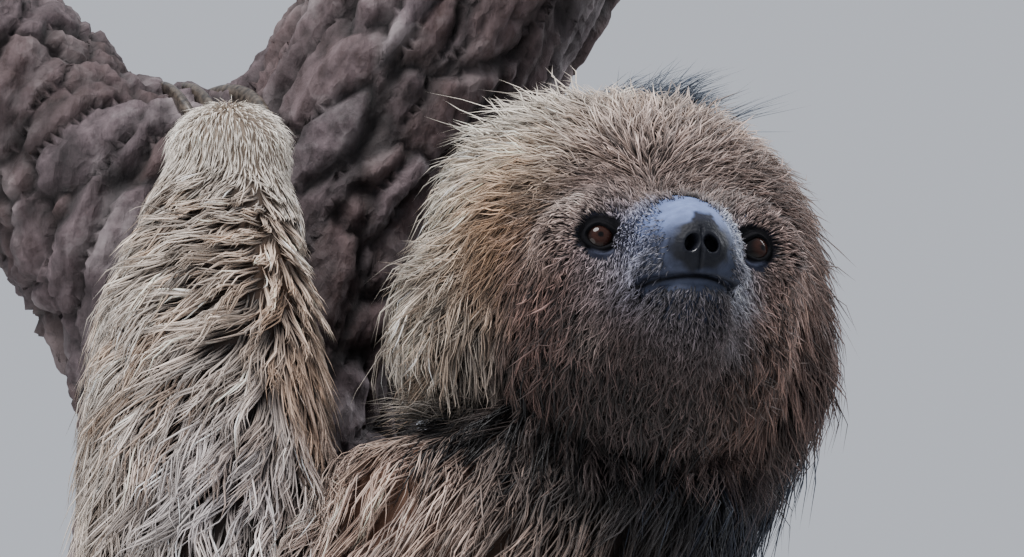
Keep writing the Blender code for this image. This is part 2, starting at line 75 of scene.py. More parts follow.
headTurn = (
    Matrix.Rotation(radians(headPose["yaw"]), 3, "Z")
    @ Matrix.Rotation(radians(-headPose["pitch"]), 3, "X")
    @ Matrix.Rotation(radians(headPose["roll"]), 3, "Y")
)
betweenEyes = (middleOf("eye_left") + middleOf("eye_right")) / 2
headCentre = betweenEyes - headTurn @ Vector((0, eyeball["forward"], eyeball["up"])) / 1000
headAxes = np.array(headTurn)


def toHead(points):
    return (points - np.array(headCentre)) @ headAxes * 1000


def fromHead(points):
    return np.asarray(points) @ headAxes.T / 1000 + np.array(headCentre)


# small tools


def deselectAll():
    if bpy.context.mode != "OBJECT":
        bpy.ops.object.mode_set(mode="OBJECT")
    bpy.ops.object.select_all(action="DESELECT")


def pick(*objects):
    deselectAll()
    for obj in objects:
        obj.select_set(True)
    bpy.context.view_layer.objects.active = objects[0]


def useModifier(obj, kind, **settings):
    modifier = obj.modifiers.new(kind.title(), kind)
    for key, value in settings.items():
        setattr(modifier, key, value)
    pick(obj)
    bpy.ops.object.modifier_apply(modifier=modifier.name)


def copyOf(node, swell=0.0):
    copy = bpy.data.objects.new("copy_" + node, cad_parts[node].data.copy())
    bpy.context.scene.collection.objects.link(copy)
    copy.data.materials.clear()
    pick(copy)
    bpy.ops.object.mode_set(mode="EDIT")
    bpy.ops.mesh.select_all(action="SELECT")
    bpy.ops.mesh.remove_doubles(threshold=1e-5)
    bpy.ops.object.mode_set(mode="OBJECT")
    if swell:
        useModifier(copy, "DISPLACE", strength=swell, mid_level=0, direction="NORMAL")
    return copy


def joined(name, objects):
    pick(*objects)
    if len(objects) > 1:
        bpy.ops.object.join()
    obj = bpy.context.object
    obj.name = name
    obj.data.name = name
    return obj


def readOff(items, key, size, kind=np.float32):
    found = np.empty(len(items) * size, kind)
    items.foreach_get(key, found)
    return found.reshape(-1, size)


def pointsOf(mesh):
    return readOff(mesh.vertices, "co", 3).astype(float)


def setPoints(mesh, points):
    mesh.vertices.foreach_set("co", points.astype(np.float32).ravel())
    mesh.update()


def normalsOf(mesh):
    return readOff(mesh.vertex_normals, "vector", 3).astype(float)


def edgesOf(mesh):
    return readOff(mesh.edges, "vertices", 2, np.int32)


def ball(segments, rings, place):
    # a sphere with its points put where place() says
    bpy.ops.mesh.primitive_uv_sphere_add(segments=segments, ring_count=rings, radius=1)
    made = bpy.context.object
    setPoints(made.data, place(pointsOf(made.data)))
    return made


def smoothed(values, edges, rounds, keep=0.0):
    count = len(values)
    flat = values.reshape(count, -1)
    degree = np.bincount(edges.ravel(), minlength=count).clip(1)[:, None]
    for _ in range(rounds):
        total = np.empty_like(flat)
        for column in range(flat.shape[1]):
            total[:, column] = np.bincount(edges[:, 0], flat[edges[:, 1], column], count)
            total[:, column] += np.bincount(edges[:, 1], flat[edges[:, 0], column], count)
        flat = flat * keep + total / degree * (1 - keep)
    return flat.reshape(values.shape)


def unit(vectors):
    return vectors / np.linalg.norm(vectors, axis=-1, keepdims=True).clip(1e-12)


def ramp(low, high, x):
    t = np.clip((x - low) / (high - low), 0, 1)
    return t * t * (3 - 2 * t)


def bell(x, width):
    return np.exp(-((x / width) ** 2))


def scrambled(cells, seed):
    # a whole number for each cell of a grid
    return (cells[:, 0] * 73856093) ^ (cells[:, 1] * 19349663) ^ (cells[:, 2] * 83492791) ^ seed


def blotches(points, size, seed=0):
    # soft random values from -1 to 1 that vary over this size
    grid = points / size + seed * 17.31
    cell = np.floor(grid).astype(np.int64)
    part = grid - cell
    part = part * part * (3 - 2 * part)
    total = np.zeros(len(points))
    for corner in range(8):
        step = np.array([corner & 1, corner >> 1 & 1, corner >> 2 & 1])
        number = scrambled(cell + step, seed * 2654435761)
        number = (number ^ (number >> 13)) * 1274126177
        value = ((number ^ (number >> 16)) & 0xFFFF) / 32767.5 - 1
        total += value * np.prod(np.where(step, part, 1 - part), axis=1)
    return total


# flesh: one skin under the whole coat

coatDepth = {  # mm from the skin to the tips of the coat, away from the head
    "torso": 13,
    "neck": 6,
    "mane": 8,
    "tail": 4,
    "upper_arm": 7,
    "forearm": 5.5,
    "hand": 2.5,
    "thigh": 10,
    "shin": 7,
    "foot": 3,
}
sinks = 6  # steps in which the body is sunk by the depth of its coat
raisedMasses = {  # a node, its low or high corner on each axis, the way from there and the half size, in mm
    "back of the hand": ("hand_left", (0, 0, 1), (23.5, 24.5, -15.5), (17.5, 23.0, 16.0)),
    "wrist": ("hand_left", (0, 0, 0), (21.8, 17.5, 11.8), (23.0, 21.5, 26.0)),
    "shoulder": ("upper_arm_left", (0, 0, 1), (90.0, 55.5, -15.0), (34.0, 30.0, 21.0)),
    "nape": ("neck", (0, 1, 1), (27.0, -56.0, -1.0), (31.0, 36.0, 13.5)),  # fills the space under the head
}
headMasses = {  # middle, half size and the coat's depth there, in mm
    "crown": ((1, 4, 6), (58.5, 55, 53.5), 8.5),
    "face": ((0, -26, -12), (42, 30, 36), 3.4),
    "throat": ((0, -12, -26), (44, 37, 30.5), 6.0),
    "right temple": ((-31, 6, 24), (25.5, 28, 25.5), 11.0),
    "right ruff": ((-40, 10, -10), (34, 30, 37), 14.0),
    "left ruff": ((37, 10, -10), (31, 32, 45), 11.0),
    "right brow": ((-16.5, -41, 3.5), (13, 11, 8), 1.6),
    "left brow": ((16.5, -41, 3.5), (13, 11, 8), 1.6),
    "right orbit": ((-22.6, -43.6, -5.6), (13.5, 8.4, 12.0), 0.0),
    "left orbit": ((22.6, -43.6, -5.6), (13.5, 8.4, 12.0), 0.0),
    "right lip": ((-7.4, -62.0, -19.0), (8.6, 8.8, 4.5), 0.0),
    "left lip": ((6.2, -62.0, -19.0), (8.6, 8.8, 4.5), 0.0),
    "right wing of the nose": ((-5.2, -71.2, -16.2), (3.9, 4.3, 4.2), 0.0),
    "left wing of the nose": ((3.0, -71.2, -16.2), (3.9, 4.3, 4.2), 0.0),
    "lower lip": ((-0.7, -60.2, -27.0), (11.0, 10.0, 4.0), 0.0),
    "chin": ((-0.5, -56.6, -31.5), (12.0, 10.0, 7.5), 0.0),
}
headLimbs = {  # points and radii, in mm
    "muzzle": (((0, -30, -11.0), (-0.4, -52, -11.0), (-0.9, -64.8, -14.0)), (22.0, 16.4, 12.0)),
    "jaw": (((0, -30, -32), (0, -54.5, -30.0)), (17.5, 10.6)),
}
sharpParts = ("nose", "lip", "chin")
unionReach = {"sharp": 2.2, "soft": 6.0, "limb": 4.0}  # mm over which the masses of the head run together


def massField(points, middle, sizes):
    near = (points - np.array(middle)) / sizes
    one = np.linalg.norm(near, axis=1)
    two = np.linalg.norm(near / sizes, axis=1).clip(1e-9)
    return one * (one - 1) / two


def limbField(points, start, end, startRadius, endRadius):
    start, end = np.array(start, float), np.array(end, float)
    along = end - start
    share = ((points - start) @ along / (along @ along)).clip(0, 1)
    nearest = start + share[:, None] * along
    return np.linalg.norm(points - nearest, axis=1) - (startRadius + share * (endRadius - startRadius))


def softUnion(a, b, reach):
    mix = (0.5 + 0.5 * (b - a) / reach).clip(0, 1)
    return b * (1 - mix) + a * mix - reach * mix * (1 - mix)


def headField(points):
    field = np.full(len(points), 1e3)
    for name, (middle, sizes, depth) in headMasses.items():
        part = massField(points, middle, np.array(sizes, float) - depth)
        field = softUnion(field, part, unionReach["sharp" if name.endswith(sharpParts) else "soft"])
        if name == "left orbit":
            for route, radii in headLimbs.values():
                for n in range(len(route) - 1):
                    part = limbField(points, route[n], route[n + 1], radii[n], radii[n + 1])
                    field = softUnion(field, part, unionReach["limb"])
    return field


def ontoHead(points, rounds=6, step=0.05):
    # moves points in the head's frame onto the skin of the head
    for _ in range(rounds):
        here = headField(points)
        slope = np.stack([(headField(points + step * axis) - here) / step for axis in np.eye(3)], 1)
        points = points - unit(slope) * (here * 0.9)[:, None]
    return points


def raisedMass(name):
    # the middle and half size, in metres
    node, corner, away, size = raisedMasses[name]
    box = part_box(node)
    start = np.array([box[end][axis] for axis, end in enumerate(corner)])
    return start + np.array(away) / 1000, np.array(size) / 1000


def rigidNode(name):
    return name.startswith(("stand_", "perch_", "claw_", "eye_"))


fleshNodes = sorted(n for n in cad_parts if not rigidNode(n))
headNodes = [n for n in fleshNodes if n.startswith(("head", "nose", "ear"))]


def depthOf(node):
    return next(depth for key, depth in coatDepth.items() if node.startswith(key))


def sunkenBody():
    # the trunk, limbs, neck, tail and mane, sunk by the depth of their coat
    names = [n for n in fleshNodes if n not in headNodes]
    tree = KDTree(sum(len(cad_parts[n].data.vertices) for n in names))
    depths = []
    for n in names:
        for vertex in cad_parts[n].data.vertices:
            tree.insert(vertex.co, len(depths))
            depths.append(depthOf(n))
    tree.balance()
    body = joined("skin", [copyOf(n, swell=0.0005) for n in names])
    useModifier(body, "REMESH", mode="VOXEL", voxel_size=0.0034)
    mesh = body.data
    edges = edgesOf(mesh)
    depth = np.array([depths[tree.find(v.co)[1]] for v in mesh.vertices], float)
    depth = smoothed(depth, edges, 14) / 1000
    points = pointsOf(mesh)
    for _ in range(sinks):
        points = points - normalsOf(mesh) * (depth / sinks)[:, None]
        points = smoothed(points, edges, 2, keep=0.6)
        setPoints(mesh, points)
    masses = [body]
    for middle, size in map(raisedMass, raisedMasses):
        masses.append(ball(32, 20, lambda points: points * size + middle))
    return joined("body", masses)


def roughHead():
    balls = []
    for middle, sizes, depth in headMasses.values():
        half = np.array(sizes) - depth
        balls.append(ball(24, 14, lambda points: fromHead(points * half + np.array(middle))))
    for route, radii in headLimbs.values():
        for n in range(len(route) - 1):
            for share in (0.0, 0.33, 0.66, 1.0):
                middle = np.array(route[n]) * (1 - share) + np.array(route[n + 1]) * share
                radius = radii[n] * (1 - share) + radii[n + 1] * share
                balls.append(ball(20, 12, lambda points: fromHead(points * radius + middle)))
    return joined("rough_head", balls)


def largestPiece(obj):
    pick(obj)
    bpy.ops.object.mode_set(mode="EDIT")
    bpy.ops.mesh.select_all(action="SELECT")
    bpy.ops.mesh.separate(type="LOOSE")
    bpy.ops.object.mode_set(mode="OBJECT")
    pieces = sorted(bpy.context.selected_objects, key=lambda o: len(o.data.vertices))
    for crumb in pieces[:-1]:
        bpy.data.objects.remove(crumb)
    return pieces[-1]


def refine(obj, chosen):
    # splits the chosen faces of the mesh in four
    mesh = obj.data
    pick(obj)
    bpy.ops.object.mode_set(mode="EDIT")
    bpy.ops.mesh.select_mode(type="FACE")
    bpy.ops.mesh.select_all(action="DESELECT")
    bpy.ops.object.mode_set(mode="OBJECT")
    mesh.polygons.foreach_set("select", chosen)
    bpy.ops.object.mode_set(mode="EDIT")
    bpy.ops.mesh.subdivide(number_cuts=1)
    bpy.ops.object.mode_set(mode="OBJECT")


def eyeMiddle(side):
    return np.array((side * eyeball["apart"] / 2, eyeball["forward"], eyeball["up"]))


def settleHead(mesh):
    points = pointsOf(mesh)
    local = toHead(points)
    near = np.abs(headField(local)) < 8
    moved = local.copy()
    moved[near] = ontoHead(local[near])
    share = (1 - ramp(3.0, 7.0, np.linalg.norm(moved - local, axis=1))) * near
    local = local + (moved - local) * share[:, None]
    setPoints(mesh, fromHead(local))


def almond(offset, side):
    # 0 in the middle of the eye's opening and 1 at the edge of its lids, and the plain angle from its middle
    turn = radians(eyeball["turnedOut"])
    ahead = offset @ np.array((side * sin(turn), -cos(turn), 0))
    outward = offset @ np.array((side * cos(turn), sin(turn), 0))
    out = np.degrees(np.arctan2(outward, ahead))
    up = np.degrees(np.arctan2(offset[:, 2], ahead))
    half = eyeball["opening"]
    inner = out < 0
    across = np.abs(out) / np.where(inner, 1.40 * half, 1.04 * half)
    droop = np.where(inner, -0.22 * half * across, 0)
    tall = np.where(up > droop, 0.84, 0.96) * half
    pointed = np.where(inner, 1.25, 2.0)
    plain = np.where(ahead < 0, 9.0, np.hypot(out, up) / half)
    return np.where(ahead < 0, 9.0, np.sqrt(across**pointed + ((up - droop) / tall) ** 2)), plain


lidFolds = (  # how many openings out, how wide, and how high in mm above the eye and below it
    (1.12, 0.09, 0.14, 0.14),  # the rolled edge
    (1.42, 0.08, -0.22, -0.42),
    (1.62, 0.10, 0.0, 0.30),
    (1.86, 0.09, 0.0, -0.28),
)


def modelLids(local):
    radius = eyeball["radius"]
    lid = radius + eyeball["lid"]
    inside = radius - 1.0
    for side in (-1, 1):
        middle = eyeMiddle(side)
        offset = local - middle
        reach = np.linalg.norm(offset, axis=1)
        near = reach < 13
        opening, plain = almond(offset[near], side)
        target = inside + (lid - inside) * ramp(0.90, 1.02, opening)
        lower = offset[near][:, 2] < 0
        for out, wide, above, below in lidFolds:
            target += np.where(lower, below, above) * bell(opening - out, wide)
        hold = 1 - ramp(1.35, 1.95, plain)
        held = target * hold + np.maximum(reach[near], target * 0.92) * (1 - hold)
        local[near] = middle + unit(offset[near]) * held[:, None]
    return local


mouth = {
    "height": -23.8, "rise": 0.12, "front": -70.0, "corner": 23.0, "longer": 6.0,  # longer on its right side
    "depth": 1.4, "halfGap": 0.34, "upperLip": 0.40, "lowerLip": 0.30,
}
nostril = {
    "middle": -1.1, "apart": 5.2, "height": -16.0, "radius": 2.25, "depth": 5.0, "rim": 0.12,
    "front": -66.0, "cleft": 0.7,
}


def modelMouthAndNose(local, outward):
    x, y, z = local.T
    above = mouthLine(local)
    corner = mouth["corner"]
    width = 1 - ramp(corner - 9, corner, np.where(x < 0, -x - mouth["longer"], x))
    front = (1 - ramp(-51.0, -42.0, y)) * width
    groove = bell(above, mouth["halfGap"]) * mouth["depth"]
    lips = mouth["upperLip"] * bell(above - 1.2, 0.8) + mouth["lowerLip"] * bell(above + 1.2, 0.9)
    local = local + outward * ((lips - groove) * front)[:, None]
    facing = y < nostril["front"]
    for side in (-1, 1):
        across = x - nostril["middle"] - side * nostril["apart"] / 2
        rise = z - nostril["height"]
        away = np.hypot(across * 1.05 + side * 0.22 * rise, rise * 0.90) / nostril["radius"]
        pit = (1 - ramp(0.62, 1.05, away)) * facing
        rim = bell(away - 1.30, 0.22) * nostril["rim"] * facing
        into = np.array((side * 0.25, 1.0, 0.30))
        local = local + pit[:, None] * into * nostril["depth"] + outward * rim[:, None]
    cleft = bell(x - nostril["middle"], 0.6) * ramp(-24, -22, z) * (1 - ramp(-13.0, -10.5, z)) * facing
    return local - outward * (cleft * nostril["cleft"])[:, None]


def creases(local):
    # fine wrinkles of the bare snout, in mm
    wave = blotches(local * (1.0, 0.6, 1.6), 1.7, 3) * 0.6 + blotches(local, 0.8, 4) * 0.4
    return wave * 0.10 * (1 - ramp(-60, -48, local[:, 1]))


def makeSkin():
    body = sunkenBody()
    skin = joined("skin", [body, roughHead()])
    useModifier(skin, "REMESH", mode="VOXEL", voxel_size=0.0032)
    skin = largestPiece(skin)
    useModifier(skin, "SMOOTH", factor=0.5, iterations=3)
    mesh = skin.data
    settleHead(mesh)
    reaches = (  # each closer to the eyes, nostrils and mouth than the last
        lambda x, y, z, c: (y < -24) & (np.abs(x) < 38) & (z > -44) & (z < 22),
        lambda x, y, z, c: (y < -38) & (np.abs(x) < 34) & (z > -36) & (z < 12),
        lambda x, y, z, c: ((y < -50) & (z > -31) & (np.abs(x) < 23)) | nearEye(c, 10.0),
        lambda x, y, z, c: (np.abs(mouthLine(c)) < 1.6) & (y < -48) | nearEye(c, 8.4) | nearNostril(c, 4.6),
    )
    for reach in reaches:
        centres = toHead(readOff(mesh.polygons, "center", 3).astype(float))
        refine(skin, reach(*centres.T, centres) & (np.abs(headField(centres)) < 6))
        settleHead(mesh)
    local = toHead(pointsOf(mesh))
    outward = normalsOf(mesh) @ headAxes
    local = modelMouthAndNose(local, outward)
    local = local + outward * creases(local)[:, None]
    local = modelLids(local)
    setPoints(mesh, fromHead(local))
    useModifier(skin, "TRIANGULATE")
    return skin


def mouthLine(local):
    return local[:, 2] - mouth["height"] - mouth["rise"] * (local[:, 1] - mouth["front"])


def nearEye(local, reach):
    return np.minimum(*[np.linalg.norm(local - eyeMiddle(side), axis=1) for side in (-1, 1)]) < reach


def nearNostril(local, reach):
    across = np.abs(local[:, 0] - nostril["middle"]) - nostril["apart"] / 2
    away = np.hypot(across, local[:, 2] - nostril["height"])
    return (away < reach) & (local[:, 1] < -64)


skin = makeSkin()
print("skin:", len(skin.data.polygons), "triangles")

# what the skin and the coat share: where each place is, how its hair lies, how long it is and its markings


def tone(code):
    values = np.array([int(code[n : n + 2], 16) for n in (0, 2, 4)]) / 255
    return np.where(values < 0.04045, values / 12.92, ((values + 0.055) / 1.055) ** 2.4)


bodyCoat = {  # length and width of the hair in mm, the way it lies, and the tones of its roots and tips
    "torso": (34, 1.5, (-0.25, 0.0, -1.0), "2b211d", "8a7468"),
    # the neck's near-black is partly the dark mane, partly painted shade under the head
    "neck": (26, 0.9, (-0.25, -0.3, -1.0), "070607", "1f1b1d"),
    "mane": (46, 1.0, (0.10, 0.0, -1.0), "0c0d10", "333a48"),
    "tail": (12, 0.9, (0.2, 0.0, -1.0), "2b211d", "8a7468"),
    "upper_arm": (30, 0.9, (-0.50, -0.55, -1.0), "2f211b", "bb9f90"),
    "forearm_left": (26, 0.8, (-0.45, 0.0, -1.0), "3a302a", "c6baae"),
    "forearm_right": (24, 1.2, (0.0, 0.2, -1.0), "3a302a", "b3a596"),
    "hand": (7, 0.45, (0.0, 0.0, -1.0), "a39485", "efe6da"),
    "thigh": (31, 1.5, (0.15, 0.1, -1.0), "2b211d", "94806f"),
    "shin": (22, 1.2, (0.0, 0.1, -1.0), "33291f", "a39282"),
    "foot": (8, 0.55, (0.0, 0.0, -1.0), "6a5d52", "b9ab9d"),
    "head": (20, 0.9, (0.0, 0.3, -1.0), "3a302a", "b3a596"),
    "nose": (3, 0.5, (0.0, 1.0, 0.2), "3a302a", "b3a596"),
    "ear": (16, 0.9, (0.0, 0.3, -1.0), "3a302a", "b3a596"),
}
headMarkings = {  # middle and reach in mm, and the tones of the roots and tips there
    "whorl": ((-7, -46, 23), 11, "241917", "a8928a"),
    "forehead": ((6, -42, 30), 13, "4a3a32", "cbb2a7"),
    "right brow": ((-18, -46, 13), 7, "120b0a", "85706a"),
    "between the brows": ((-4, -49, 13), 8, "140d0c", "87736c"),
    "between the eyes": ((2, -53, 5), 6, "181212", "83756f"),
    "left of the forehead": ((10, -46, 19), 7, "261b19", "a48f87"),
    "left brow": ((26, -41, 18), 11, "130c0c", "746059"),
    "crown": ((0, -18, 48), 20, "55463c", "c8b8ab"),
    "top": ((-14, 0, 56), 16, "665648", "dccfc0"),
    # near-white tips: partly the pale crown, partly painted light on the head's lit right side
    "right crown": ((-36, -18, 38), 16, "6c594c", "fffdee"),
    "above the right temple": ((-39, -26, 27), 10, "4f3926", "f0caa8"),
    "right temple": ((-44, -27, 14), 11, "372113", "dca776"),
    "ochre beside the ruff": ((-50, -21, 3), 9, "2a1b12", "bf9063"),
    "dark of the right temple": ((-35, -34, 11), 7, "0b0707", "5e4a40"),
    "pale above the right eye": ((-27, -44, 5), 4.2, "4a3f3c", "e2d2c8"),
    "pale beside the right eye": ((-32, -42, -4), 5.0, "463a39", "dccbc2"),
    "beyond the right eye": ((-39, -36, -6), 9, "1a1211", "927669"),
    "right cheek": ((-35, -37, -19), 13, "1a1111", "a07d74"),
    # the next two: near-white tips, partly the pale ruff, partly painted light on the head's lit right side
    "right ruff": ((-64, -2, -4), 16, "51453b", "f5eadb"),
    "upper ruff": ((-60, -4, 20), 14, "67594c", "fffff4"),
    "low ruff": ((-63, -5, -14), 7, "33271f", "d9c6b0"),
    "ends of the ruff": ((-64, 0, -28), 7, "120e0c", "8d8378"),
    # the next two: painted shade under the ruff and the jaw
    "painted shade under the ruff": ((-48, -7, -42), 14, "040404", "171211"),
    "painted shade under the right jaw": ((-28, -26, -50), 12, "050404", "171211"),
    "low cheek": ((-37, -27, -33), 12, "0b0706", "513b35"),
    "under eye": ((-19, -53, -15), 6, "1b191e", "ccc2cc"),
    # the next three: painted shade in the corner of the mouth and the creases of the cheek
    "painted shade in the corner of the mouth": ((-18, -51, -22.5), 3.2, "08070a", "262229"),
    "painted shade of the right cheek's crease": ((-27, -44, -24), 4.0, "060506", "2e292b"),
    "painted shade of the crease further out": ((-35, -37, -27), 4.0, "070606", "3a3030"),
    "pale below the crease": ((-25, -45, -31), 4, "302b2a", "bdb0ab"),
    "pale beside the chin": ((18, -49, -33), 4, "32323a", "bcbcc6"),
    "pale under the left eye": ((17, -54, -20), 4.5, "53556a", "f0f3ff"),
    "lip": ((-4, -66, -20), 7, "16171d", "86858e"),
    "right side of the muzzle": ((-13, -56, -12), 7, "343748", "b8c0df"),
    "left side of the muzzle": ((12, -58, -11), 6, "6c7288", "d2d7e4"),
    "chin": ((0, -60, -33), 9, "0f0e11", "797179"),
    "low chin": ((0, -54, -42), 10, "0e0b0b", "5b4945"),
    "jaw": ((-8, -44, -46), 14, "0d0909", "4a3835"),
    "throat": ((4, -26, -56), 20, "0f0c0c", "584b49"),
    "left cheek": ((36, -37, -14), 13, "271d1c", "bd9c90"),
    "left jaw": ((32, -30, -36), 15, "18100f", "6b5045"),
    "left temple": ((44, -24, 16), 14, "271c18", "8f776e"),
    "left ruff": ((54, -12, -10), 14, "241a18", "806860"),
    "left fringe": ((54, 8, -14), 15, "08080a", "25242a"),
    "back": ((0, 50, 10), 26, "241b17", "5f5048"),
    "nape": ((10, 44, -24), 24, "08080a", "222127"),
    # the next two: painted shade at the ruff's edge and under it
    "painted shade at the edge of the ruff": ((-46, -23, -11), 9, "0a0706", "2c201b"),
    "painted shade under the ruff's edge": ((-52, -13, -25), 12, "060505", "1e1512"),
    "below the right eye": ((-24, -47, -17), 6, "1a1617", "aa9491"),
    "beside the left eye": ((30, -43, -6), 7, "241b1c", "b39c95"),
}
bodyMarkings = {  # the same, in mm from the middle of the head along the world's axes
    "smooth inside of the arm": ((-95, -15, 8), 14, "8d7562", "e6cfbb"),
    "brown inside of the arm": ((-93, -15, -12), 13, "33221a", "b98f6c"),
    "lower inside": ((-88, -13, -32), 15, "30221b", "a98a78"),
    "outside of the raised arm": ((-146, -20, -7), 24, "4b443e", "d6cfc6"),
    "brown band of the arm": ((-116, -34, 8), 12, "261b14", "a68b70"),
    "front of the raised arm": ((-121, -35, -28), 18, "2e2622", "b6aaa0"),
    "lower arm": ((-107, -42, -56), 22, "211d20", "d8d3d8"),
    # partly the shoulder's pale reddish tan, partly painted light lifting it out of the head's shade
    "shoulder": ((-64, -34, -65), 19, "8a6a59", "ffe9db"),
    # the next two: painted shade under the head; by the mane, partly its black hair too
    "painted shade on the shoulder's middle": ((-36, -36, -52), 14, "050404", "1d1715"),
    "mane and painted shade by the shoulder": ((-20, -42, -64), 24, "050404", "110f0e"),
    # as on the shoulder: partly pale reddish tan, partly painted light lifting it out of the head's shade
    "outer shoulder": ((-78, -26, -60), 14, "7a5a4a", "f6dccb"),
}
hairLength = ((12, 20, 30, 42, 56, 75, 105), (1.8, 3.0, 4.2, 7.0, 12.0, 22.0, 30.0))  # by reach from the nose
hairWidth = ((15, 45, 80), (0.40, 0.55, 0.85))  # all in mm
ruffEnds = {"place": (-48, -16, -24), "spread": 17, "shorter": 0.52}
raisedArm = {  # heights above the ground in metres, and how the hair shortens and turns between them
    "wrist": (0.600, 0.668), "aboveElbow": (0.560, 0.575), "shortInside": (0.585, 0.625),
    "turns": (0.560, 0.625), "turnsBack": (0.630, 0.652), "length": 25, "wristShorter": 17,
    "inside": (0.35, 0.92), "insideShorter": 0.55, "sweep": (-0.9, 0.0, 0.45),
}
softBorders = {"from": 45, "to": 80, "rounds": 16}  # mm from the nose; the face keeps its own borders sharp
noseTip = np.array((0, -76.5, -13))
whorl = np.array((-7, -47, 24))


def headLie(local):
    # the hair of the head turns away from the whorl and the nose, and hangs at the cheeks
    fromWhorl = unit(local - whorl)
    fromNose = unit(local - noseTip)
    nearNose = bell(np.linalg.norm(local - noseTip, axis=1), 42)
    low = ramp(12, -30, local[:, 2])
    side = ramp(24, 58, np.abs(local[:, 0]))
    lie = fromWhorl * (1 - nearNose)[:, None] + fromNose * (1.5 * nearNose)[:, None]
    hang = (0.25 + 0.75 * side) * (0.35 + 0.9 * low) * (1 - 0.7 * nearNose)
    lie = lie + np.array((0, 0.10, -1.0)) * hang[:, None]
    lie = unit(lie + np.array((0, 0.35, 0)) * (1 - nearNose)[:, None])
    for side in (-1, 1):
        away = local - eyeMiddle(side)
        lie = lie + unit(away) * (2.2 * bell(ringAway(local, side), 10))[:, None]
    return unit(lie)


def headTones(local):
    weights = []
    for middle, reach, _, _ in headMarkings.values():
        weights.append(np.exp(-(np.linalg.norm(local - np.array(middle), axis=1) / reach) ** 1.6))
    weights = np.stack(weights, 1) + 1e-9
    weights /= weights.sum(1, keepdims=True)
    return [weights @ np.stack([tone(row[end]) for row in headMarkings.values()]) for end in (2, 3)]


def over(colours, tint, share):
    # lays a tone over the colours by this share
    return colours + (tint - colours) * np.asarray(share)[:, None]


def ringAway(local, side):
    # how far each place is from the middle of an eye's opening, seen from the front; less towards the nose
    away = local - eyeMiddle(side) - np.array((side * 0.3, 0, 0))
    inner = ramp(0, -6, away[:, 0] * side) * (1 - ramp(0, 7, np.abs(away[:, 2] + 1.5)))
    return np.where(away[:, 1] < 3, np.hypot(away[:, 0] * (0.96 + 0.22 * inner), away[:, 2]), 99)


def bareness(local):
    # 1 on the bare snout, lips and rims of the eyes
    x, y, z = local.T
    dome = np.hypot((x + 0.8) / 12.4, (z + 10.0) / 15.5) + 0.13 * blotches(local, 2.0, 2)
    bare = (1 - ramp(0.72, 1.05, dome)) * (1 - ramp(-55, -50, y))
    lips = 1 - ramp(1.2, 3.2, np.abs(mouthLine(local) + 0.4))
    bare = np.maximum(bare, lips * (1 - ramp(-58, -51, y)) * (np.abs(x + 2) < 20))
    below = np.hypot((x + 1) / 11.0, (z + 19.5) / 5.0) + 0.15 * blotches(local, 1.6, 12)
    bare = np.maximum(bare, (1 - ramp(0.8, 1.1, below)) * (1 - ramp(-58, -54, y)))
    for side in (-1, 1):
        ring = ringAway(local, side) + 0.5 * blotches(local, 2.0, 9)
        bare = np.maximum(bare, 1 - ramp(5.6, 6.8, ring))
    return bare


def nearestNodes(points):
    # which flesh node each place on the skin is nearest to, and how deep it lies under it in mm
    owners, hullPoints, hullFaces = [], [], []
    for number, n in enumerate(fleshNodes):
        start = len(hullPoints)
        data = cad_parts[n].data
        hullPoints += [tuple(v.co) for v in data.vertices]
        hullFaces += [[start + i for i in face.vertices] for face in data.polygons]
        owners += [number] * len(data.polygons)
    hull = BVHTree.FromPolygons(hullPoints, hullFaces)
    found = [hull.find_nearest(p) for p in points.tolist()]
    zone = np.array([owners[row[2]] for row in found])
    middle, size = raisedMass("back of the hand")
    zone[np.linalg.norm((points - middle) / size, axis=1) < 1.25] = fleshNodes.index("hand_left")
    return zone, np.array([row[3] for row in found]) * 1000


def upTheArm(key, points):
    # 0 below this stretch of the raised arm and 1 above it
    return ramp(*raisedArm[key], points[:, 2])


def combRaisedArm(points, zone, length, lie):
    onForearm = zone == fleshNodes.index("forearm_left")
    raised = onForearm | (zone == fleshNodes.index("hand_left"))
    low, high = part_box("forearm_left")
    inner = ramp(*raisedArm["inside"], (points[:, 0] - low.x) / (high.x - low.x))
    shorter = 1 - raisedArm["insideShorter"] * inner * upTheArm("shortInside", points)
    ownLength = raisedArm["length"] - raisedArm["wristShorter"] * upTheArm("wrist", points)
    swirl = upTheArm("turns", points) * (1 - upTheArm("turnsBack", points)) * onForearm * (1 - inner)
    lie = unit(lie + np.array(raisedArm["sweep"]) * swirl[:, None])
    return np.where(raised, ownLength * shorter, length), lie


def combHands(points, zone, lie):
    # the hair of hands and feet points to the claws, and falls from the top of the raised hand
    for hand in [n for n in fleshNodes if n.startswith(("hand", "foot"))]:
        claws = [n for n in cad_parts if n.startswith("claw_" + hand)]
        middle = sum((middleOf(n) for n in claws), Vector()) / len(claws)
        inHand = zone == fleshNodes.index(hand)
        lie[inHand] = np.array((middle - middleOf(hand)).normalized())
        if hand == "hand_left":
            top = np.array(middleOf(hand))
            top[2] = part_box(hand)[1].z
            lie[inHand] = unit(unit(points[inHand] - top) + np.array((0, 0, -0.5)))


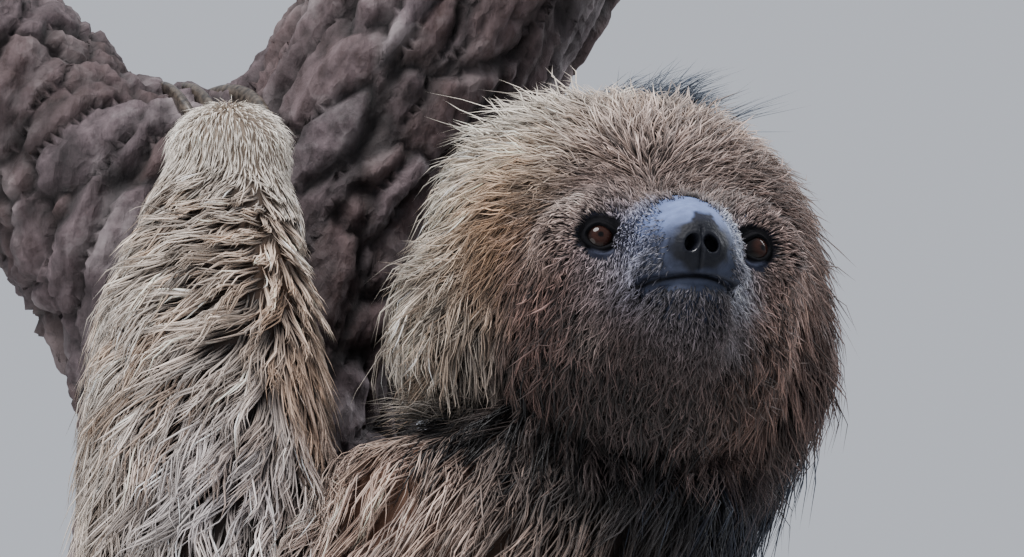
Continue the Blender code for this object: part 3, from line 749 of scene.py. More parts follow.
def readSkin():
    mesh = skin.data
    points, edges = pointsOf(mesh), edgesOf(mesh)
    local = toHead(points)
    zone, depth = nearestNodes(points)
    onHead = np.isin(zone, [fleshNodes.index(n) for n in headNodes])
    rows = [next(row for key, row in bodyCoat.items() if n.startswith(key)) for n in fleshNodes]
    length, width, lie = (np.array([row[n] for row in rows], float)[zone] for n in range(3))
    roots, tips = (np.stack([tone(row[n]) for row in rows])[zone] for n in (3, 4))
    length, lie = combRaisedArm(points, zone, length, unit(lie))
    combHands(points, zone, lie)
    reach = np.linalg.norm(local - noseTip, axis=1)
    nearLids = np.minimum(ringAway(local, -1), ringAway(local, 1))
    length = np.where(onHead, np.interp(reach, *hairLength) * (0.45 + 0.55 * ramp(6, 16, nearLids)), length)
    ends = bell(np.linalg.norm(local - np.array(ruffEnds["place"]), axis=1), ruffEnds["spread"])
    length = length * (1 - ruffEnds["shorter"] * ends * onHead)
    width = np.where(onHead, np.interp(reach, *hairWidth), width)
    lie = np.where(onHead[:, None], headLie(local) @ headAxes.T, lie)
    fromMiddle = (points - np.array(headCentre)) * 1000
    for middle, spread, rootCode, tipCode in bodyMarkings.values():
        share = bell(np.linalg.norm(fromMiddle - np.array(middle), axis=1), spread) * 0.9
        roots, tips = over(roots, tone(rootCode), share), over(tips, tone(tipCode), share)
    headRoots, headTips = headTones(local)
    roots = np.where(onHead[:, None], headRoots, roots)
    tips = np.where(onHead[:, None], headTips, tips)
    triangles = readOff(mesh.polygons, "vertices", 3, np.int32)
    corners = points[triangles]
    areas = np.linalg.norm(np.cross(corners[:, 1] - corners[:, 0], corners[:, 2] - corners[:, 0]), axis=1) / 2
    look = {
        "points": points, "normals": normalsOf(mesh), "triangles": triangles, "areas": areas, "local": local,
        "zone": zone, "onHead": onHead, "reach": reach, "depth": smoothed(depth, edges, 3),
        "bare": bareness(local) * onHead,
        "thin": (1 - ramp(18, 40, reach)) * onHead,  # where the skin shows through the short hair
    }
    away = ramp(softBorders["from"], softBorders["to"], reach)
    for key, values in (("length", length), ("width", width), ("roots", roots), ("tips", tips), ("lie", lie)):
        mix = away if values.ndim == 1 else away[:, None]
        look[key] = values * (1 - mix) + smoothed(values, edges, softBorders["rounds"]) * mix
    return look


look = readSkin()
skinTree = BVHTree.FromPolygons(look["points"].tolist(), look["triangles"].tolist())


def zoneIs(*starts):
    numbers = [i for i, n in enumerate(fleshNodes) if n.startswith(starts)]
    return smoothed(np.isin(look["zone"], numbers).astype(float), edgesOf(skin.data), 3)


def paint(mesh, name, colours):
    layer = mesh.color_attributes.new(name, "FLOAT_COLOR", "POINT")
    full = np.ones((len(mesh.vertices), 4), np.float32)
    full[:, : colours.shape[1]] = colours
    layer.data.foreach_set("color", full.ravel())


def paintSkin():
    local = look["local"]
    x, y, z = local.T
    front = y < -58
    pad = np.hypot((x - nostril["middle"]) / 8.7, (z + 16.2) / 7.4) + 0.12 * blotches(local, 2.0, 5)
    isPad = ramp(1.12, 0.80, pad) * front
    tuft = np.hypot((x - 0.2) / 3.8, (z + 9.4) / 4.2) + 0.25 * blotches(local, 1.2, 15)
    layers = [  # each tone laid over the last, and where
        # the snout's upper part paler: partly its grey-blue skin, partly a painted sky reflection on its top
        ("68779f", ramp(-15, -5, z + 0.8 * blotches(local, 4, 21)) * ramp(-42, -48, y)),  # the snout
        # partly paler skin on the snout's left side, partly a painted rim highlight
        ("96a1b8", 0.9 * ramp(7.5, 11.5, x) * ramp(-46, -50, y) * ramp(-24, -16, z)),  # its left side
        ("20222c", 0.8 * ramp(-17, -20, z) * ramp(-52, -60, y)),  # the lips
        ("343a4c", 0.75 * ramp(-9, -16, z) * ramp(-48, -56, y)),  # beside the nose
        ("100f17", 0.95 * ramp(1.15, 0.7, tuft) * front),  # the tuft above the nostrils
        ("14161d", isPad),
    ]
    rings = [ringAway(local, side) for side in (-1, 1)]
    below = ramp(-3.4, -5.4, z - eyeball["up"]) * 0.75
    for ring in rings:
        layers.append(("2b2e3c", ramp(10, 7.5, ring)))
        # near-black round the eye: partly the dark lids, partly painted shade of the brow above
        layers.append(("07070b", ramp(7.6, 6.0, ring) * (1 - below * ramp(4.5, 5.4, ring))))
        # painted highlight on the fold of the lower lid
        layers.append(("6d7288", below * bell(ring - 5.1, 0.35)))  # the light edge of the lower lid
    # painted shade in the slit of the mouth
    slit = bell(mouthLine(local), 0.8) * ramp(-38, -46, y) * (np.abs(x) < 26)
    layers.append(("060608", 0.95 * slit))
    flesh = np.tile(tone("3c4152"), (len(local), 1))
    for code, share in layers:
        flesh = over(flesh, tone(code), share)
    flesh = flesh * (1 + 0.14 * blotches(local, 3.0, 6) + 0.10 * blotches(local, 1.1, 7))[:, None]
    ring = np.minimum(*rings)
    share = np.maximum(np.maximum(look["bare"], look["thin"] * 0.9), ramp(11, 7, ring) * 0.85)
    colours = over(look["roots"] * 0.7, flesh, share * look["onHead"])
    paint(skin.data, "marking", colours.clip(0, 1))
    drops = [np.hypot(x - nostril["middle"] - side * 2.4, z - nostril["height"] + 2.0) for side in (-1, 1)]
    drop = ramp(1.1, 0.5, np.minimum(*drops)) * (y < -64)
    moist, dull = isPad * look["bare"], ramp(11, 8, ring)
    paint(skin.data, "wetness", np.stack([moist, dull, drop], 1))


# materials


def newMaterial(name):
    made = bpy.data.materials.new(name)
    made.use_nodes = True
    tree = made.node_tree
    tree.nodes.clear()
    output = tree.nodes.new("ShaderNodeOutputMaterial")
    shader = tree.nodes.new("ShaderNodeBsdfPrincipled")
    tree.links.new(shader.outputs[0], output.inputs[0])
    return made, tree, shader


def wire(node, **inputs):
    # links each input to the socket given, or sets it to the number
    for key, value in inputs.items():
        socket = node.inputs[key.replace("_", " ")]
        if isinstance(value, bpy.types.NodeSocket):
            node.id_data.links.new(value, socket)
        else:
            socket.default_value = value


def add(tree, kind, links=(), **values):
    # the first output of a node with these inputs linked, and these inputs or properties set
    node = tree.nodes.new("ShaderNode" + kind)
    for key, value in values.items():
        if hasattr(node, key):
            setattr(node, key, value)
        else:
            wire(node, **{key: value})
    for socket, source in dict(links).items():
        tree.links.new(source, node.inputs[socket])
    return node.outputs[0]


def attribute(tree, name):
    return add(tree, "Attribute", attribute_name=name)


def channels(tree, colour):
    add(tree, "SeparateColor", {"Color": colour})
    return tree.nodes[-1].outputs


def mixed(tree, factor, one, two, blend="MIX"):
    node = tree.nodes.new("ShaderNodeMix")
    node.data_type = "RGBA"
    node.blend_type = blend
    for socket, value in ((0, factor), (6, one), (7, two)):
        if isinstance(value, bpy.types.NodeSocket):
            tree.links.new(value, node.inputs[socket])
        elif socket == 0:
            node.inputs[0].default_value = value
        else:
            node.inputs[socket].default_value = (*value, 1)
    return node.outputs[2]


def shaded(tree, colour, value):
    # the colour made lighter or darker by the value
    grey = add(tree, "CombineColor", {0: value, 1: value, 2: value})
    return mixed(tree, 1.0, colour, grey, "MULTIPLY")


def ranged(tree, source, low, high, fromLow=0.0, fromHigh=1.0):
    node = tree.nodes.new("ShaderNodeMapRange")
    wire(node, Value=source, From_Min=fromLow, From_Max=fromHigh, To_Min=low, To_Max=high)
    return node.outputs[0]


def noiseFrom(tree, vector, scale, detail=3.0, rough=0.55):
    return add(tree, "TexNoise", {"Vector": vector}, Scale=scale, Detail=detail, Roughness=rough)


def objectPlaces(tree, stretch=(1, 1, 1)):
    places = tree.nodes.new("ShaderNodeTexCoord").outputs["Object"]
    if stretch == (1, 1, 1):
        return places
    return add(tree, "Mapping", {"Vector": places}, Scale=stretch)


def bump(tree, height, distance, strength=1.0, **normal):
    return add(tree, "Bump", {"Height": height, **normal}, Strength=strength, Distance=distance)


def skinMaterial():
    made, tree, shader = newMaterial("bare_skin")
    places = objectPlaces(tree)
    wetness = channels(tree, attribute(tree, "wetness"))
    pores = noiseFrom(tree, places, 1400, 2)
    mottle = ranged(tree, noiseFrom(tree, places, 420, 4), 0.78, 1.22)
    rough = ranged(tree, pores, 0.52, 0.74)
    for channel, low, high in ((0, 0.50, 0.66), (1, 0.86, 0.98), (2, 0.08, 0.14)):
        there = ranged(tree, pores, low, high)
        rough = add(tree, "Mix", {0: wetness[channel], 2: rough, 3: there}, data_type="FLOAT")
    rise = bump(tree, add(tree, "TexVoronoi", {"Vector": places}, Scale=1150), 0.00016, 0.5)
    wire(
        shader, Base_Color=shaded(tree, attribute(tree, "marking"), mottle), Roughness=rough,
        Normal=bump(tree, pores, 0.00012, 0.5, Normal=rise), Specular_IOR_Level=0.15,
        Coat_Weight=wetness[2], Coat_Roughness=0.12, Coat_IOR=1.5,
    )
    return made


def furMaterial(name, gloss, sheen, contrast):
    made, tree, shader = newMaterial(name)
    strands = add(tree, "UVMap", uv_map="strand")
    hairs = noiseFrom(tree, add(tree, "Mapping", {"Vector": strands}, Scale=(9, 1.3, 1)), 1.0, 2)
    value = ranged(tree, hairs, 1 - contrast, 1 + contrast, 0.3, 0.7)
    wire(
        shader, Base_Color=shaded(tree, attribute(tree, "marking"), value),
        Roughness=ranged(tree, hairs, gloss - 0.08, gloss + 0.12), Normal=bump(tree, hairs, 0.0002, 0.6),
        Sheen_Weight=sheen, Sheen_Roughness=0.5, Specular_IOR_Level=0.35,
    )
    return made


def finishPiece(obj, material, slot, *nodes):
    obj.data.materials.clear()
    obj.data.materials.append(material)
    obj.data.shade_smooth()
    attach(obj, "root")
    if nodes:
        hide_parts(*nodes)


paintSkin()
finishPiece(skin, skinMaterial(), "nose_skin", *[n for n in fleshNodes if n != "mane"])

# coat: tapered locks of hair, each a closed solid rooted in the skin


def placesOnSkin(weights, count):
    # places on the skin, spread by area and weight: their triangles, and how they mix the corners
    share = look["areas"] * weights[look["triangles"]].mean(1)
    total = np.cumsum(share)
    picks = np.searchsorted(total, (np.arange(count) + dice.random(count)) / count * total[-1])
    picks = picks.clip(0, len(share) - 1)
    a, b = dice.random(count), dice.random(count)
    flip = a + b > 1
    a, b = np.where(flip, 1 - a, a), np.where(flip, 1 - b, b)
    return picks, np.stack([1 - a - b, a, b], 1)


def readAt(key, picks, mix):
    values = look[key][look["triangles"][picks]]
    if values.ndim == 2:
        return (values * mix).sum(1)
    return (values * mix[:, :, None]).sum(1)


def nearestSkin(points):
    found = [skinTree.find_nearest(p) for p in points.tolist()]
    base = np.array([tuple(row[0]) for row in found])
    corner = look["triangles"][np.array([row[2] for row in found])]
    normal = unit(look["normals"][corner].mean(1))
    return base, normal, unit(look["lie"][corner].mean(1))


hair = {  # what all the coats share; lengths are shares of a lock's own length
    "lengths": (0.75, 1.25), "inLock": (0.72, 1.15), "widths": (0.7, 1.3),
    "clear": 0.0004,  # metres kept between a lock and the skin
    "keeps": 0.35,  # how much of its heading a lock keeps at each step
    "arch": 2.2, "gather": 0.9, "fly": 1.6,  # how its height, its clumping and its stray ends grow along it
    "wild": 0.02, "wildAway": 0.11,  # the share of hairs that fly off, and how far
    "patches": 0.14, "patchSize": 0.012,  # how much the tone varies from place to place, over so many metres
    "shades": (0.35, 1.8), "bright": 1.55, "dimmer": 0.75, "ochre": "96704c", "ochreOn": (0.10, 0.40),
    "flat": 0.55,  # how thick a hair is for its width
    "cell": 0.003,  # the size of each hair's place in the baked map
}


def growGuides(picks, mix, coat):
    # the paths of the locks: each leaves the skin, then lies along it at its own height
    count, steps = len(picks), coat["steps"]
    here, normal = readAt("points", picks, mix), unit(readAt("normals", picks, mix))
    lie = unit(readAt("lie", picks, mix))
    length = readAt("length", picks, mix) * dice.uniform(*hair["lengths"], count) / 1000 * coat["stretch"]
    height = readAt("depth", picks, mix) * dice.uniform(*coat["layers"], count) / 1000
    height = np.minimum(height, length * coat["stand"])
    heading = unit(lie + normal * coat["lift"])
    turn = dice.normal(0, coat["stray"], (count, 3))
    path, faces = [here], [normal]
    for step in range(1, steps + 1):
        share = step / steps
        here = here + heading * (length / steps)[:, None]
        base, normal, lie = nearestSkin(here)
        wanted = height * (1 - (1 - share) ** hair["arch"])
        up = ((here - base) * normal).sum(1)
        here = here + normal * (np.maximum((wanted - up) * coat["cling"], hair["clear"] - up))[:, None]
        path.append(here)
        faces.append(normal)
        drop = np.array((0, 0, -coat["hang"] * share)) + np.array(coat["sweep"])
        lie = unit(lie - normal * (lie * normal).sum(1)[:, None])
        heading = heading * hair["keeps"] + lie + drop + turn * (0.4 + share)
        heading = unit(heading + normal * coat["flare"] * share)
    return np.stack(path, 1), np.stack(faces, 1), length


def growCoat(name, coat):
    weights = coat["where"] * (1 - look["bare"]) * (1 - 0.5 * look["thin"])
    count, guides, steps = coat["count"], coat["count"] // coat["perLock"], coat["steps"]
    guidePicks, guideMix = placesOnSkin(weights, guides)
    guidePaths, guideFaces, guideLengths = growGuides(guidePicks, guideMix, coat)
    guideShade = dice.normal(0, coat["shade"], guides)
    guideShade = guideShade + hair["patches"] * blotches(guidePaths[:, 0], hair["patchSize"], 8)
    tree = KDTree(guides)
    for number, root in enumerate(guidePaths[:, 0].tolist()):
        tree.insert(root, number)
    tree.balance()
    picks, mix = placesOnSkin(weights, count)
    root = readAt("points", picks, mix)
    owner = np.array([tree.find(p)[1] for p in root.tolist()])
    scale = dice.uniform(*hair["inLock"], count)
    shares = np.linspace(0, 1, steps + 1)
    guide = guidePaths[owner]
    offset = root - guide[:, 0]
    pull = coat["clump"] * shares ** hair["gather"]
    path = root[:, None] + (guide - guide[:, :1]) * scale[:, None, None] - offset[:, None] * pull[:, None]
    side = unit(np.cross(guide[:, -1] - guide[:, 0], guideFaces[owner][:, 0]))
    length = guideLengths[owner] * scale
    phase = dice.uniform(0, 2 * pi, guides)[owner] + dice.normal(0, 0.5, count)
    wave = np.sin(shares * coat["curls"] * 2 * pi + phase[:, None]) - np.sin(phase)[:, None]
    wave = wave * coat["curl"] * length[:, None] * shares
    path = path + side[:, None] * wave[:, :, None]
    fly = dice.normal(0, coat["frizz"], (count, 3)) * length[:, None]
    isWild = (dice.random(count) < hair["wild"])[:, None]
    wild = isWild * dice.normal(0, hair["wildAway"], (count, 3)) * length[:, None]
    path = path + (fly + wild)[:, None] * (shares ** hair["fly"])[:, None]
    width = readAt("width", picks, mix) * dice.uniform(*hair["widths"], count) / 1000 * coat["girth"]
    shade = (1 + guideShade[owner] + dice.normal(0, coat["shade"] * 0.7, count)).clip(*hair["shades"])
    roots, tips = readAt("roots", picks, mix), readAt("tips", picks, mix)
    if coat["tones"]:
        roots, tips = (np.tile(tone(code), (count, 1)) for code in coat["tones"])
    bright = dice.random(count) < coat["spark"]
    shade *= np.where(bright, hair["bright"], 1 - hair["dimmer"] * coat["spark"])
    warm = coat["ochre"] * dice.random(guides)[owner] ** 2 * ramp(*hair["ochreOn"], tips.mean(1))
    tips = over(tips, tone(hair["ochre"]), warm)
    obj = meshOfLocks(name, path, guideFaces[owner], width, shade, roots, tips, coat["dark"])
    finishPiece(obj, coat["material"], coat["slot"], *coat["nodes"])
    print(name + ":", len(obj.data.polygons), "triangles")


def lockCells(rings):
    # the triangles of one hair by its own points, and where each of their corners is in the hair's map
    triangles, cells = [], []
    for ring in range(rings - 1):
        for n in range(3):
            a, b = ring * 3 + n, ring * 3 + (n + 1) % 3
            triangles += [(a, b, b + 3), (a, b + 3, a + 3)]
            low, high, left, right = ring + 1, ring + 2, n, n + 1
            cells += [((left, low), (right, low), (right, high)), ((left, low), (right, high), (left, high))]
    top, tip = (rings - 1) * 3, rings * 3
    for n in range(3):
        triangles.append((top + n, top + (n + 1) % 3, tip))
        cells.append(((n, rings), (n + 1, rings), (n + 0.5, rings + 1)))
    triangles.append((0, 2, 1))
    cells.append(((0, 0), (3, 0), (1.5, 0.9)))
    return np.array(triangles), np.array(cells) / np.array((3.0, rings + 1.0))


def meshOfLocks(name, path, faces, width, shade, roots, tips, dark):
    # a tapered bar with three sides round each path, closed at its root and pointed at its tip
    count, rings = path.shape[0], path.shape[1] - 1
    along = unit(np.gradient(path, axis=1))
    side = unit(np.cross(along, faces))
    out = np.cross(side, along)
    shares = np.arange(rings) / rings
    profile = (0.62 + 0.9 * shares * (1.35 - shares)).clip(0, 1) * (1 - shares**3)
    half = width[:, None] * profile / 2
    thick = half * hair["flat"]
    corners = []
    for turn in (0.0, 2 * pi / 3, 4 * pi / 3):
        across = side[:, :rings] * (half * sin(turn))[..., None]
        corners.append(path[:, :rings] + across + out[:, :rings] * (thick * cos(turn))[..., None])
    body = np.stack(corners, 2).reshape(count, rings * 3, 3)
    points = np.concatenate([body, path[:, -1:]], 1)
    triangles, patch = lockCells(rings)
    index = (triangles[None] + (np.arange(count) * points.shape[1])[:, None, None]).reshape(-1)
    mesh = bpy.data.meshes.new(name)
    mesh.vertices.add(points.shape[0] * points.shape[1])
    mesh.vertices.foreach_set("co", points.astype(np.float32).ravel())
    mesh.loops.add(len(index))
    mesh.polygons.add(len(index) // 3)
    mesh.polygons.foreach_set("loop_start", np.arange(0, len(index), 3, dtype=np.int32))
    mesh.loops.foreach_set("vertex_index", index.astype(np.int32))
    mesh.update(calc_edges=True)
    bakeMap = mesh.uv_layers.new(name="OFBake")
    places = patchPlaces(path[:, 0])[:, None, None] + (patch - 0.5) * hair["cell"]
    bakeMap.data.foreach_set("uv", places.astype(np.float32).ravel())
    strandMap = mesh.uv_layers.new(name="strand")
    places = dice.uniform(0, 40, (count, 1, 1, 2)) + patch[None]
    strandMap.data.foreach_set("uv", places.astype(np.float32).ravel())
    shares = np.concatenate([np.repeat(shares, 3), [1.0]])
    mix = ramp(*dark, shares)[None, :, None]
    colours = (roots[:, None] * (1 - mix) + tips[:, None] * mix) * shade[:, None, None]
    paint(mesh, "marking", colours.reshape(-1, 3).clip(0, 1))
    obj = bpy.data.objects.new(name, mesh)
    bpy.context.scene.collection.objects.link(obj)
    return obj


def patchPlaces(root):
    # unrolls the skin under these roots round the line through them, and gives each its own cell there
    away = root - root.mean(0)
    _, _, axes = np.linalg.svd(away[:: max(1, len(away) // 4000)], full_matrices=False)
    own = away @ axes.T
    angle = np.arctan2(own[:, 2], own[:, 1])
    columns = int(np.ceil(np.sqrt(len(root))))
    order = np.argsort(own[:, 0], kind="stable")
    places = np.empty((len(root), 2))
    for column in range(columns):
        members = order[column * columns : (column + 1) * columns]
        members = members[np.argsort(angle[members], kind="stable")]
        places[members, 0] = (column + 0.5) / columns
        places[members, 1] = (np.arange(len(members)) + 0.5) / columns
    return places * 0.99 + 0.005


faceFur = furMaterial("face_fur", 0.55, 0.08, 0.25)
bodyFur = furMaterial("body_fur", 0.55, 0.12, 0.35)
maneHair = furMaterial("mane_hair", 0.40, 0.04, 0.30)

reach, onHead = look["reach"], look["onHead"].astype(float)
high = ramp(-6, 10, look["local"][:, 2])
frontal = 0.40 + 0.60 * ramp(30, -10, look["local"][:, 1])
aboveElbow = upTheArm("aboveElbow", look["points"])


def nearPlace(place, spread):
    return onHead * bell(np.linalg.norm(look["local"] - np.array(place), axis=1), spread)


anyCoat = {
    "perLock": 8,  # hairs that gather into one lock
    "steps": 3,  # bends along a hair
    "layers": (0.6, 1.15),  # how high the locks lie, as shares of the coat's depth
    "stand": 0.6,  # the most a lock rises, as a share of its length
    "lift": 0.5, "flare": 0.0,  # how steeply it leaves the skin, and how its end turns outward
    "stray": 0.16, "cling": 0.5,  # how far locks part from each other, and how closely they follow the skin
    "hang": 0.25, "sweep": (0, 0, 0),  # how their ends fall, and the way they all lean
    "clump": 0.6, "frizz": 0.06,  # how closely the hairs of a lock gather, and how they stick out
    "curl": 0.08, "curls": 0.7,  # how far a hair waves from side to side, and how many times
    "girth": 1.0, "stretch": 1.0,  # how wide and long its hairs are for their place
    "shade": 0.15, "spark": 0.0, "ochre": 0.0,  # how the tones vary, and the shares of bright and warm hairs
    "dark": (0.1, 0.9),  # the stretch along a hair over which the root's tone gives way to the tip's
    "tones": None, "nodes": (),
}
faceCoat = dict(anyCoat, material=faceFur, slot="face_coat", steps=4, hang=0.1)
furCoat = dict(anyCoat, material=bodyFur, slot="coat", spark=0.2)
maneCoat = dict(anyCoat, material=maneHair, slot="mane", steps=4, stray=0.12)
coats = {
    "coat_muzzle": dict(
        faceCoat, where=onHead * (1 - ramp(38, 44, reach)), count=12000, perLock=2, steps=2,
        layers=(0.8, 1.2), stray=0.35, cling=0.4, clump=0.2, curl=0.05, curls=0.5, frizz=0.22, girth=0.9,
        shade=0.30, spark=0.28, dark=(0.2, 0.9),
    ),
    "coat_cheeks": dict(
        faceCoat, where=onHead * ramp(36, 42, reach) * (1 - ramp(58, 66, reach)), count=11000, perLock=4,
        steps=3, layers=(0.7, 1.15), lift=0.55, stray=0.34, hang=0.15, clump=0.5, curl=0.10, frizz=0.18,
        shade=0.28, spark=0.30, ochre=0.25, dark=(0.25, 0.95),
    ),
    "coat_crown": dict(
        faceCoat, where=onHead * ramp(58, 66, reach) * high * frontal, count=10500, perLock=9, steps=3,
        layers=(0.6, 1.2), lift=0.6, flare=0.25, stray=0.26, cling=0.6, clump=0.72, curl=0.13, curls=0.8,
        frizz=0.08, girth=0.85, shade=0.20, spark=0.22, ochre=0.5, dark=(0.15, 0.85),
    ),
    "coat_ruff": dict(
        faceCoat, where=onHead * ramp(56, 64, reach) * (1 - high) * frontal, count=8800, perLock=11,
        layers=(0.6, 1.25), lift=0.55, flare=0.15, stray=0.17, cling=0.45, hang=0.85, clump=0.82, curl=0.17,
        curls=0.75, frizz=0.04, girth=0.78, shade=0.26, spark=0.22, ochre=0.55, dark=(0.15, 0.8),
    ),
    "coat_forearm_upper": dict(
        furCoat, where=zoneIs("forearm_left") * aboveElbow, count=7000, perLock=12, steps=4,
        layers=(0.7, 1.45), lift=0.6, stray=0.14, clump=0.80, curl=0.15, frizz=0.05, shade=0.26, ochre=0.6,
        dark=(0.05, 0.55),
    ),
    "coat_forearm_lower": dict(
        furCoat, where=zoneIs("forearm_left") * (1 - aboveElbow), count=4500, perLock=13, steps=4,
        layers=(0.7, 1.5), lift=0.6, clump=0.85, curl=0.17, frizz=0.05, girth=0.9, shade=0.28, ochre=0.4,
        dark=(0.05, 0.6),
    ),
    "coat_hands": dict(
        furCoat, where=zoneIs("hand", "foot") + 1.2 * zoneIs("hand_left"), count=6500, perLock=2, steps=2,
        layers=(0.5, 0.9), lift=0.25, stray=0.12, cling=0.8, hang=0.1, clump=0.1, curl=0.03, curls=0.5,
        frizz=0.07, shade=0.10, spark=0.0, dark=(-0.4, 0.6),
    ),
    "coat_shoulders": dict(
        furCoat, where=zoneIs("upper_arm") + 0.8 * zoneIs("neck"), count=8200, perLock=11, layers=(0.7, 1.5),
        lift=0.65, clump=0.8, curl=0.09, girth=0.75, shade=0.28, spark=0.22, ochre=0.4, dark=(0.1, 0.7),
    ),
    "coat_back": dict(
        furCoat, where=zoneIs("torso", "tail"), count=6000, stray=0.18, cling=0.7, frizz=0.07, shade=0.18,
        spark=0.15, dark=(0.1, 0.7),
    ),
    "coat_limbs": dict(
        furCoat, where=zoneIs("thigh", "shin", "forearm_right"), count=6000, stray=0.18, cling=0.7, hang=0.2,
        frizz=0.07, shade=0.18, spark=0.15, dark=(0.1, 0.7),
    ),
    "coat_mane": dict(maneCoat, where=zoneIs("mane"), nodes=("mane",), count=4600, lift=0.4, hang=0.8),
    "mane_tuft": dict(
        maneCoat, where=nearPlace((5, 5, 57), 8), count=1300, perLock=10, layers=(0.8, 1.3), cling=0.05,
        hang=0.35, sweep=(0.75, -0.1, 1.0), clump=0.5, curl=0.10, curls=0.6, frizz=0.07, girth=0.7,
        stretch=1.25, tones=("14171e", "46505f"),
    ),
    "crown_tuft": dict(
        faceCoat, where=nearPlace((-22, -6, 48), 11), count=400, layers=(0.9, 1.6), lift=1.0, stray=0.25,
        cling=0.1, hang=0.0, sweep=(-0.25, 0.0, 0.55), clump=0.7, curl=0.12, frizz=0.08, girth=0.8,
        stretch=0.95, dark=(0.0, 0.6),
    ),
    # near-black hair under the throat: partly the mane, partly painted shade under the head
    "throat_mane_and_painted_shade": dict(
        maneCoat, where=nearPlace((-34, 4, -44), 16) + nearPlace((-6, 2, -50), 16), count=1700, perLock=9,
        layers=(0.7, 1.5), stray=0.14, cling=0.1, hang=1.2, girth=0.9, stretch=1.25,
        tones=("050506", "131012"),
    ),
    "wisps": dict(
        faceCoat, where=onHead * ramp(62, 75, reach) + 0.5 * zoneIs("forearm_left", "upper_arm"), count=900,
        perLock=1, steps=3, layers=(1.0, 1.7), stand=0.9, lift=0.8, stray=0.30, cling=0.4, clump=0.0,
        curl=0.10, curls=0.9, frizz=0.12, girth=0.36, stretch=0.75, dark=(0.0, 0.5),
    ),
}
for name, coat in coats.items():
    growCoat(name, coat)

# eyes

eyeLook = {  # degrees from the middle of the gaze, and mm
    "pupil": 8, "iris": 44, "bulge": 0.35, "bulgeWidth": 34, "inset": 0.35,
    "rays": ((0.14, 23, 0), (0.10, 41, 1)),  # how strong, how many and where they start
    "gaze": {-1: (-0.16, -1.0, 0.0), 1: (0.50, -1.0, -0.05)},
    "irisTone": "2b1914", "irisEdge": "0a0707", "white": "0b090b", "pupilTone": "030304",
}


def eyeMaterial():
    made, tree, shader = newMaterial("eye")
    fibres = noiseFrom(tree, objectPlaces(tree), 2600, 2)
    wire(
        shader, Base_Color=shaded(tree, attribute(tree, "marking"), ranged(tree, fibres, 0.7, 1.35)),
        Roughness=ranged(tree, fibres, 0.30, 0.40), Specular_IOR_Level=0.0,
        Coat_Weight=1.0, Coat_Roughness=0.02, Coat_IOR=1.28,
    )
    return made


def makeEye(node, side, material):
    eye = ball(96, 64, lambda points: points)
    eye.name = node.replace("eye", "eyeball")
    gaze = unit(np.array(eyeLook["gaze"][side]))
    points = pointsOf(eye.data)
    angle = np.degrees(np.arccos((points @ gaze).clip(-1, 1)))
    spoke = np.arctan2(points @ np.cross(gaze, (0, 0, 1)), points[:, 2])
    iris, pupil = eyeLook["iris"], eyeLook["pupil"]
    rays = sum(strength * np.sin(spoke * number + start) for strength, number, start in eyeLook["rays"])
    colours = tone(eyeLook["irisTone"]) * (1 + rays)[:, None]
    layers = (
        ("irisEdge", ramp(pupil + 8, iris - 6, angle)),
        ("white", ramp(iris - 8, iris, angle)),
        ("pupilTone", 1 - ramp(pupil - 1.5, pupil + 1.5, angle)),
    )
    for key, share in layers:
        colours = over(colours, tone(eyeLook[key]), share)
    paint(eye.data, "marking", colours)
    bulge = eyeLook["bulge"] * np.exp(-((angle / eyeLook["bulgeWidth"]) ** 4))
    radius = eyeball["radius"] - eyeLook["inset"] + bulge
    setPoints(eye.data, fromHead(points * radius[:, None] + eyeMiddle(side)))
    finishPiece(eye, material, "eye", node)
    print(eye.name + ":", len(eye.data.polygons), "faces")


eyeFinish = eyeMaterial()
makeEye("eye_right", -1, eyeFinish)
makeEye("eye_left", 1, eyeFinish)

# claws

claw = {"dark": "1e1a17", "pale": "5a5148", "rounding": 2}


def hornMaterial():
    made, tree, shader = newMaterial("horn")
    grain = noiseFrom(tree, objectPlaces(tree), 500, 5)
    share = ranged(tree, grain, 0, 1, 0.35, 0.65)
    wire(
        shader, Base_Color=mixed(tree, share, tone(claw["dark"]), tone(claw["pale"])),
        Roughness=ranged(tree, grain, 0.28, 0.5), Normal=bump(tree, grain, 0.0002, 0.5),
    )
    return made


def makeClaws(group, material):
    nodes = sorted(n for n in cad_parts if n.startswith(group))
    claws = joined(group.replace("claw_", "claws_"), [copyOf(n) for n in nodes])
    useModifier(claws, "SUBSURF", levels=claw["rounding"], render_levels=claw["rounding"])
    finishPiece(claws, material, "claw", *nodes)
    print(claws.name + ":", len(nodes), "claws")


horn = hornMaterial()
for group in ("claw_hand_left", "claw_hand_right", "claw_foot_left", "claw_foot_right"):
    makeClaws(group, horn)

# perch

bark = {  # metres cut in, and left proud, and the tones
    "fissures": 0.0036, "plates": 0.0012, "ridges": 0.0030, "grain": 0.0016, "proud": 0.0026,
    "wobble": 0.0045, "voxel": 0.0023, "flakes": 0.42,  # the small plates, as a share of the large ones
    # crack: the near-black laid in the fissures, partly darker inner bark, partly painted shade
    "crack": "0a0809", "dark": "2a2125", "light": "6d6064", "weathered": "8d8486", "warm": "4a332c",
}
barkPlate = {"across": 0.016, "along": 3.4, "slant": 32}  # metres, times as long, degrees
sawn = {"low": 0.004, "high": 0.055}  # metres of the ends that stay smooth


def cracks(points, size, seed):
    # 0 in the cracks between irregular plates and 1 well inside a plate, and a random value of each plate
    grid = points / size
    cell = np.floor(grid).astype(np.int64)
    nearest = np.full((2, len(points)), 9.0)
    owner = np.zeros(len(points))
    for step in np.ndindex(3, 3, 3):
        place = cell + step - 1
        number = scrambled(place, seed * 7919)
        jitter = np.stack([((number * k) >> 7 & 1023) / 1023 for k in (40503, 65599, 31337)], 1)
        away = np.linalg.norm(place + 0.1 + 0.8 * jitter - grid, axis=1)
        closer = away < nearest[0]
        owner = np.where(closer, jitter[:, 0], owner)
        nearest[1] = np.where(closer, nearest[0], np.minimum(nearest[1], away))
        nearest[0] = np.minimum(nearest[0], away)
    return nearest[1] - nearest[0], owner


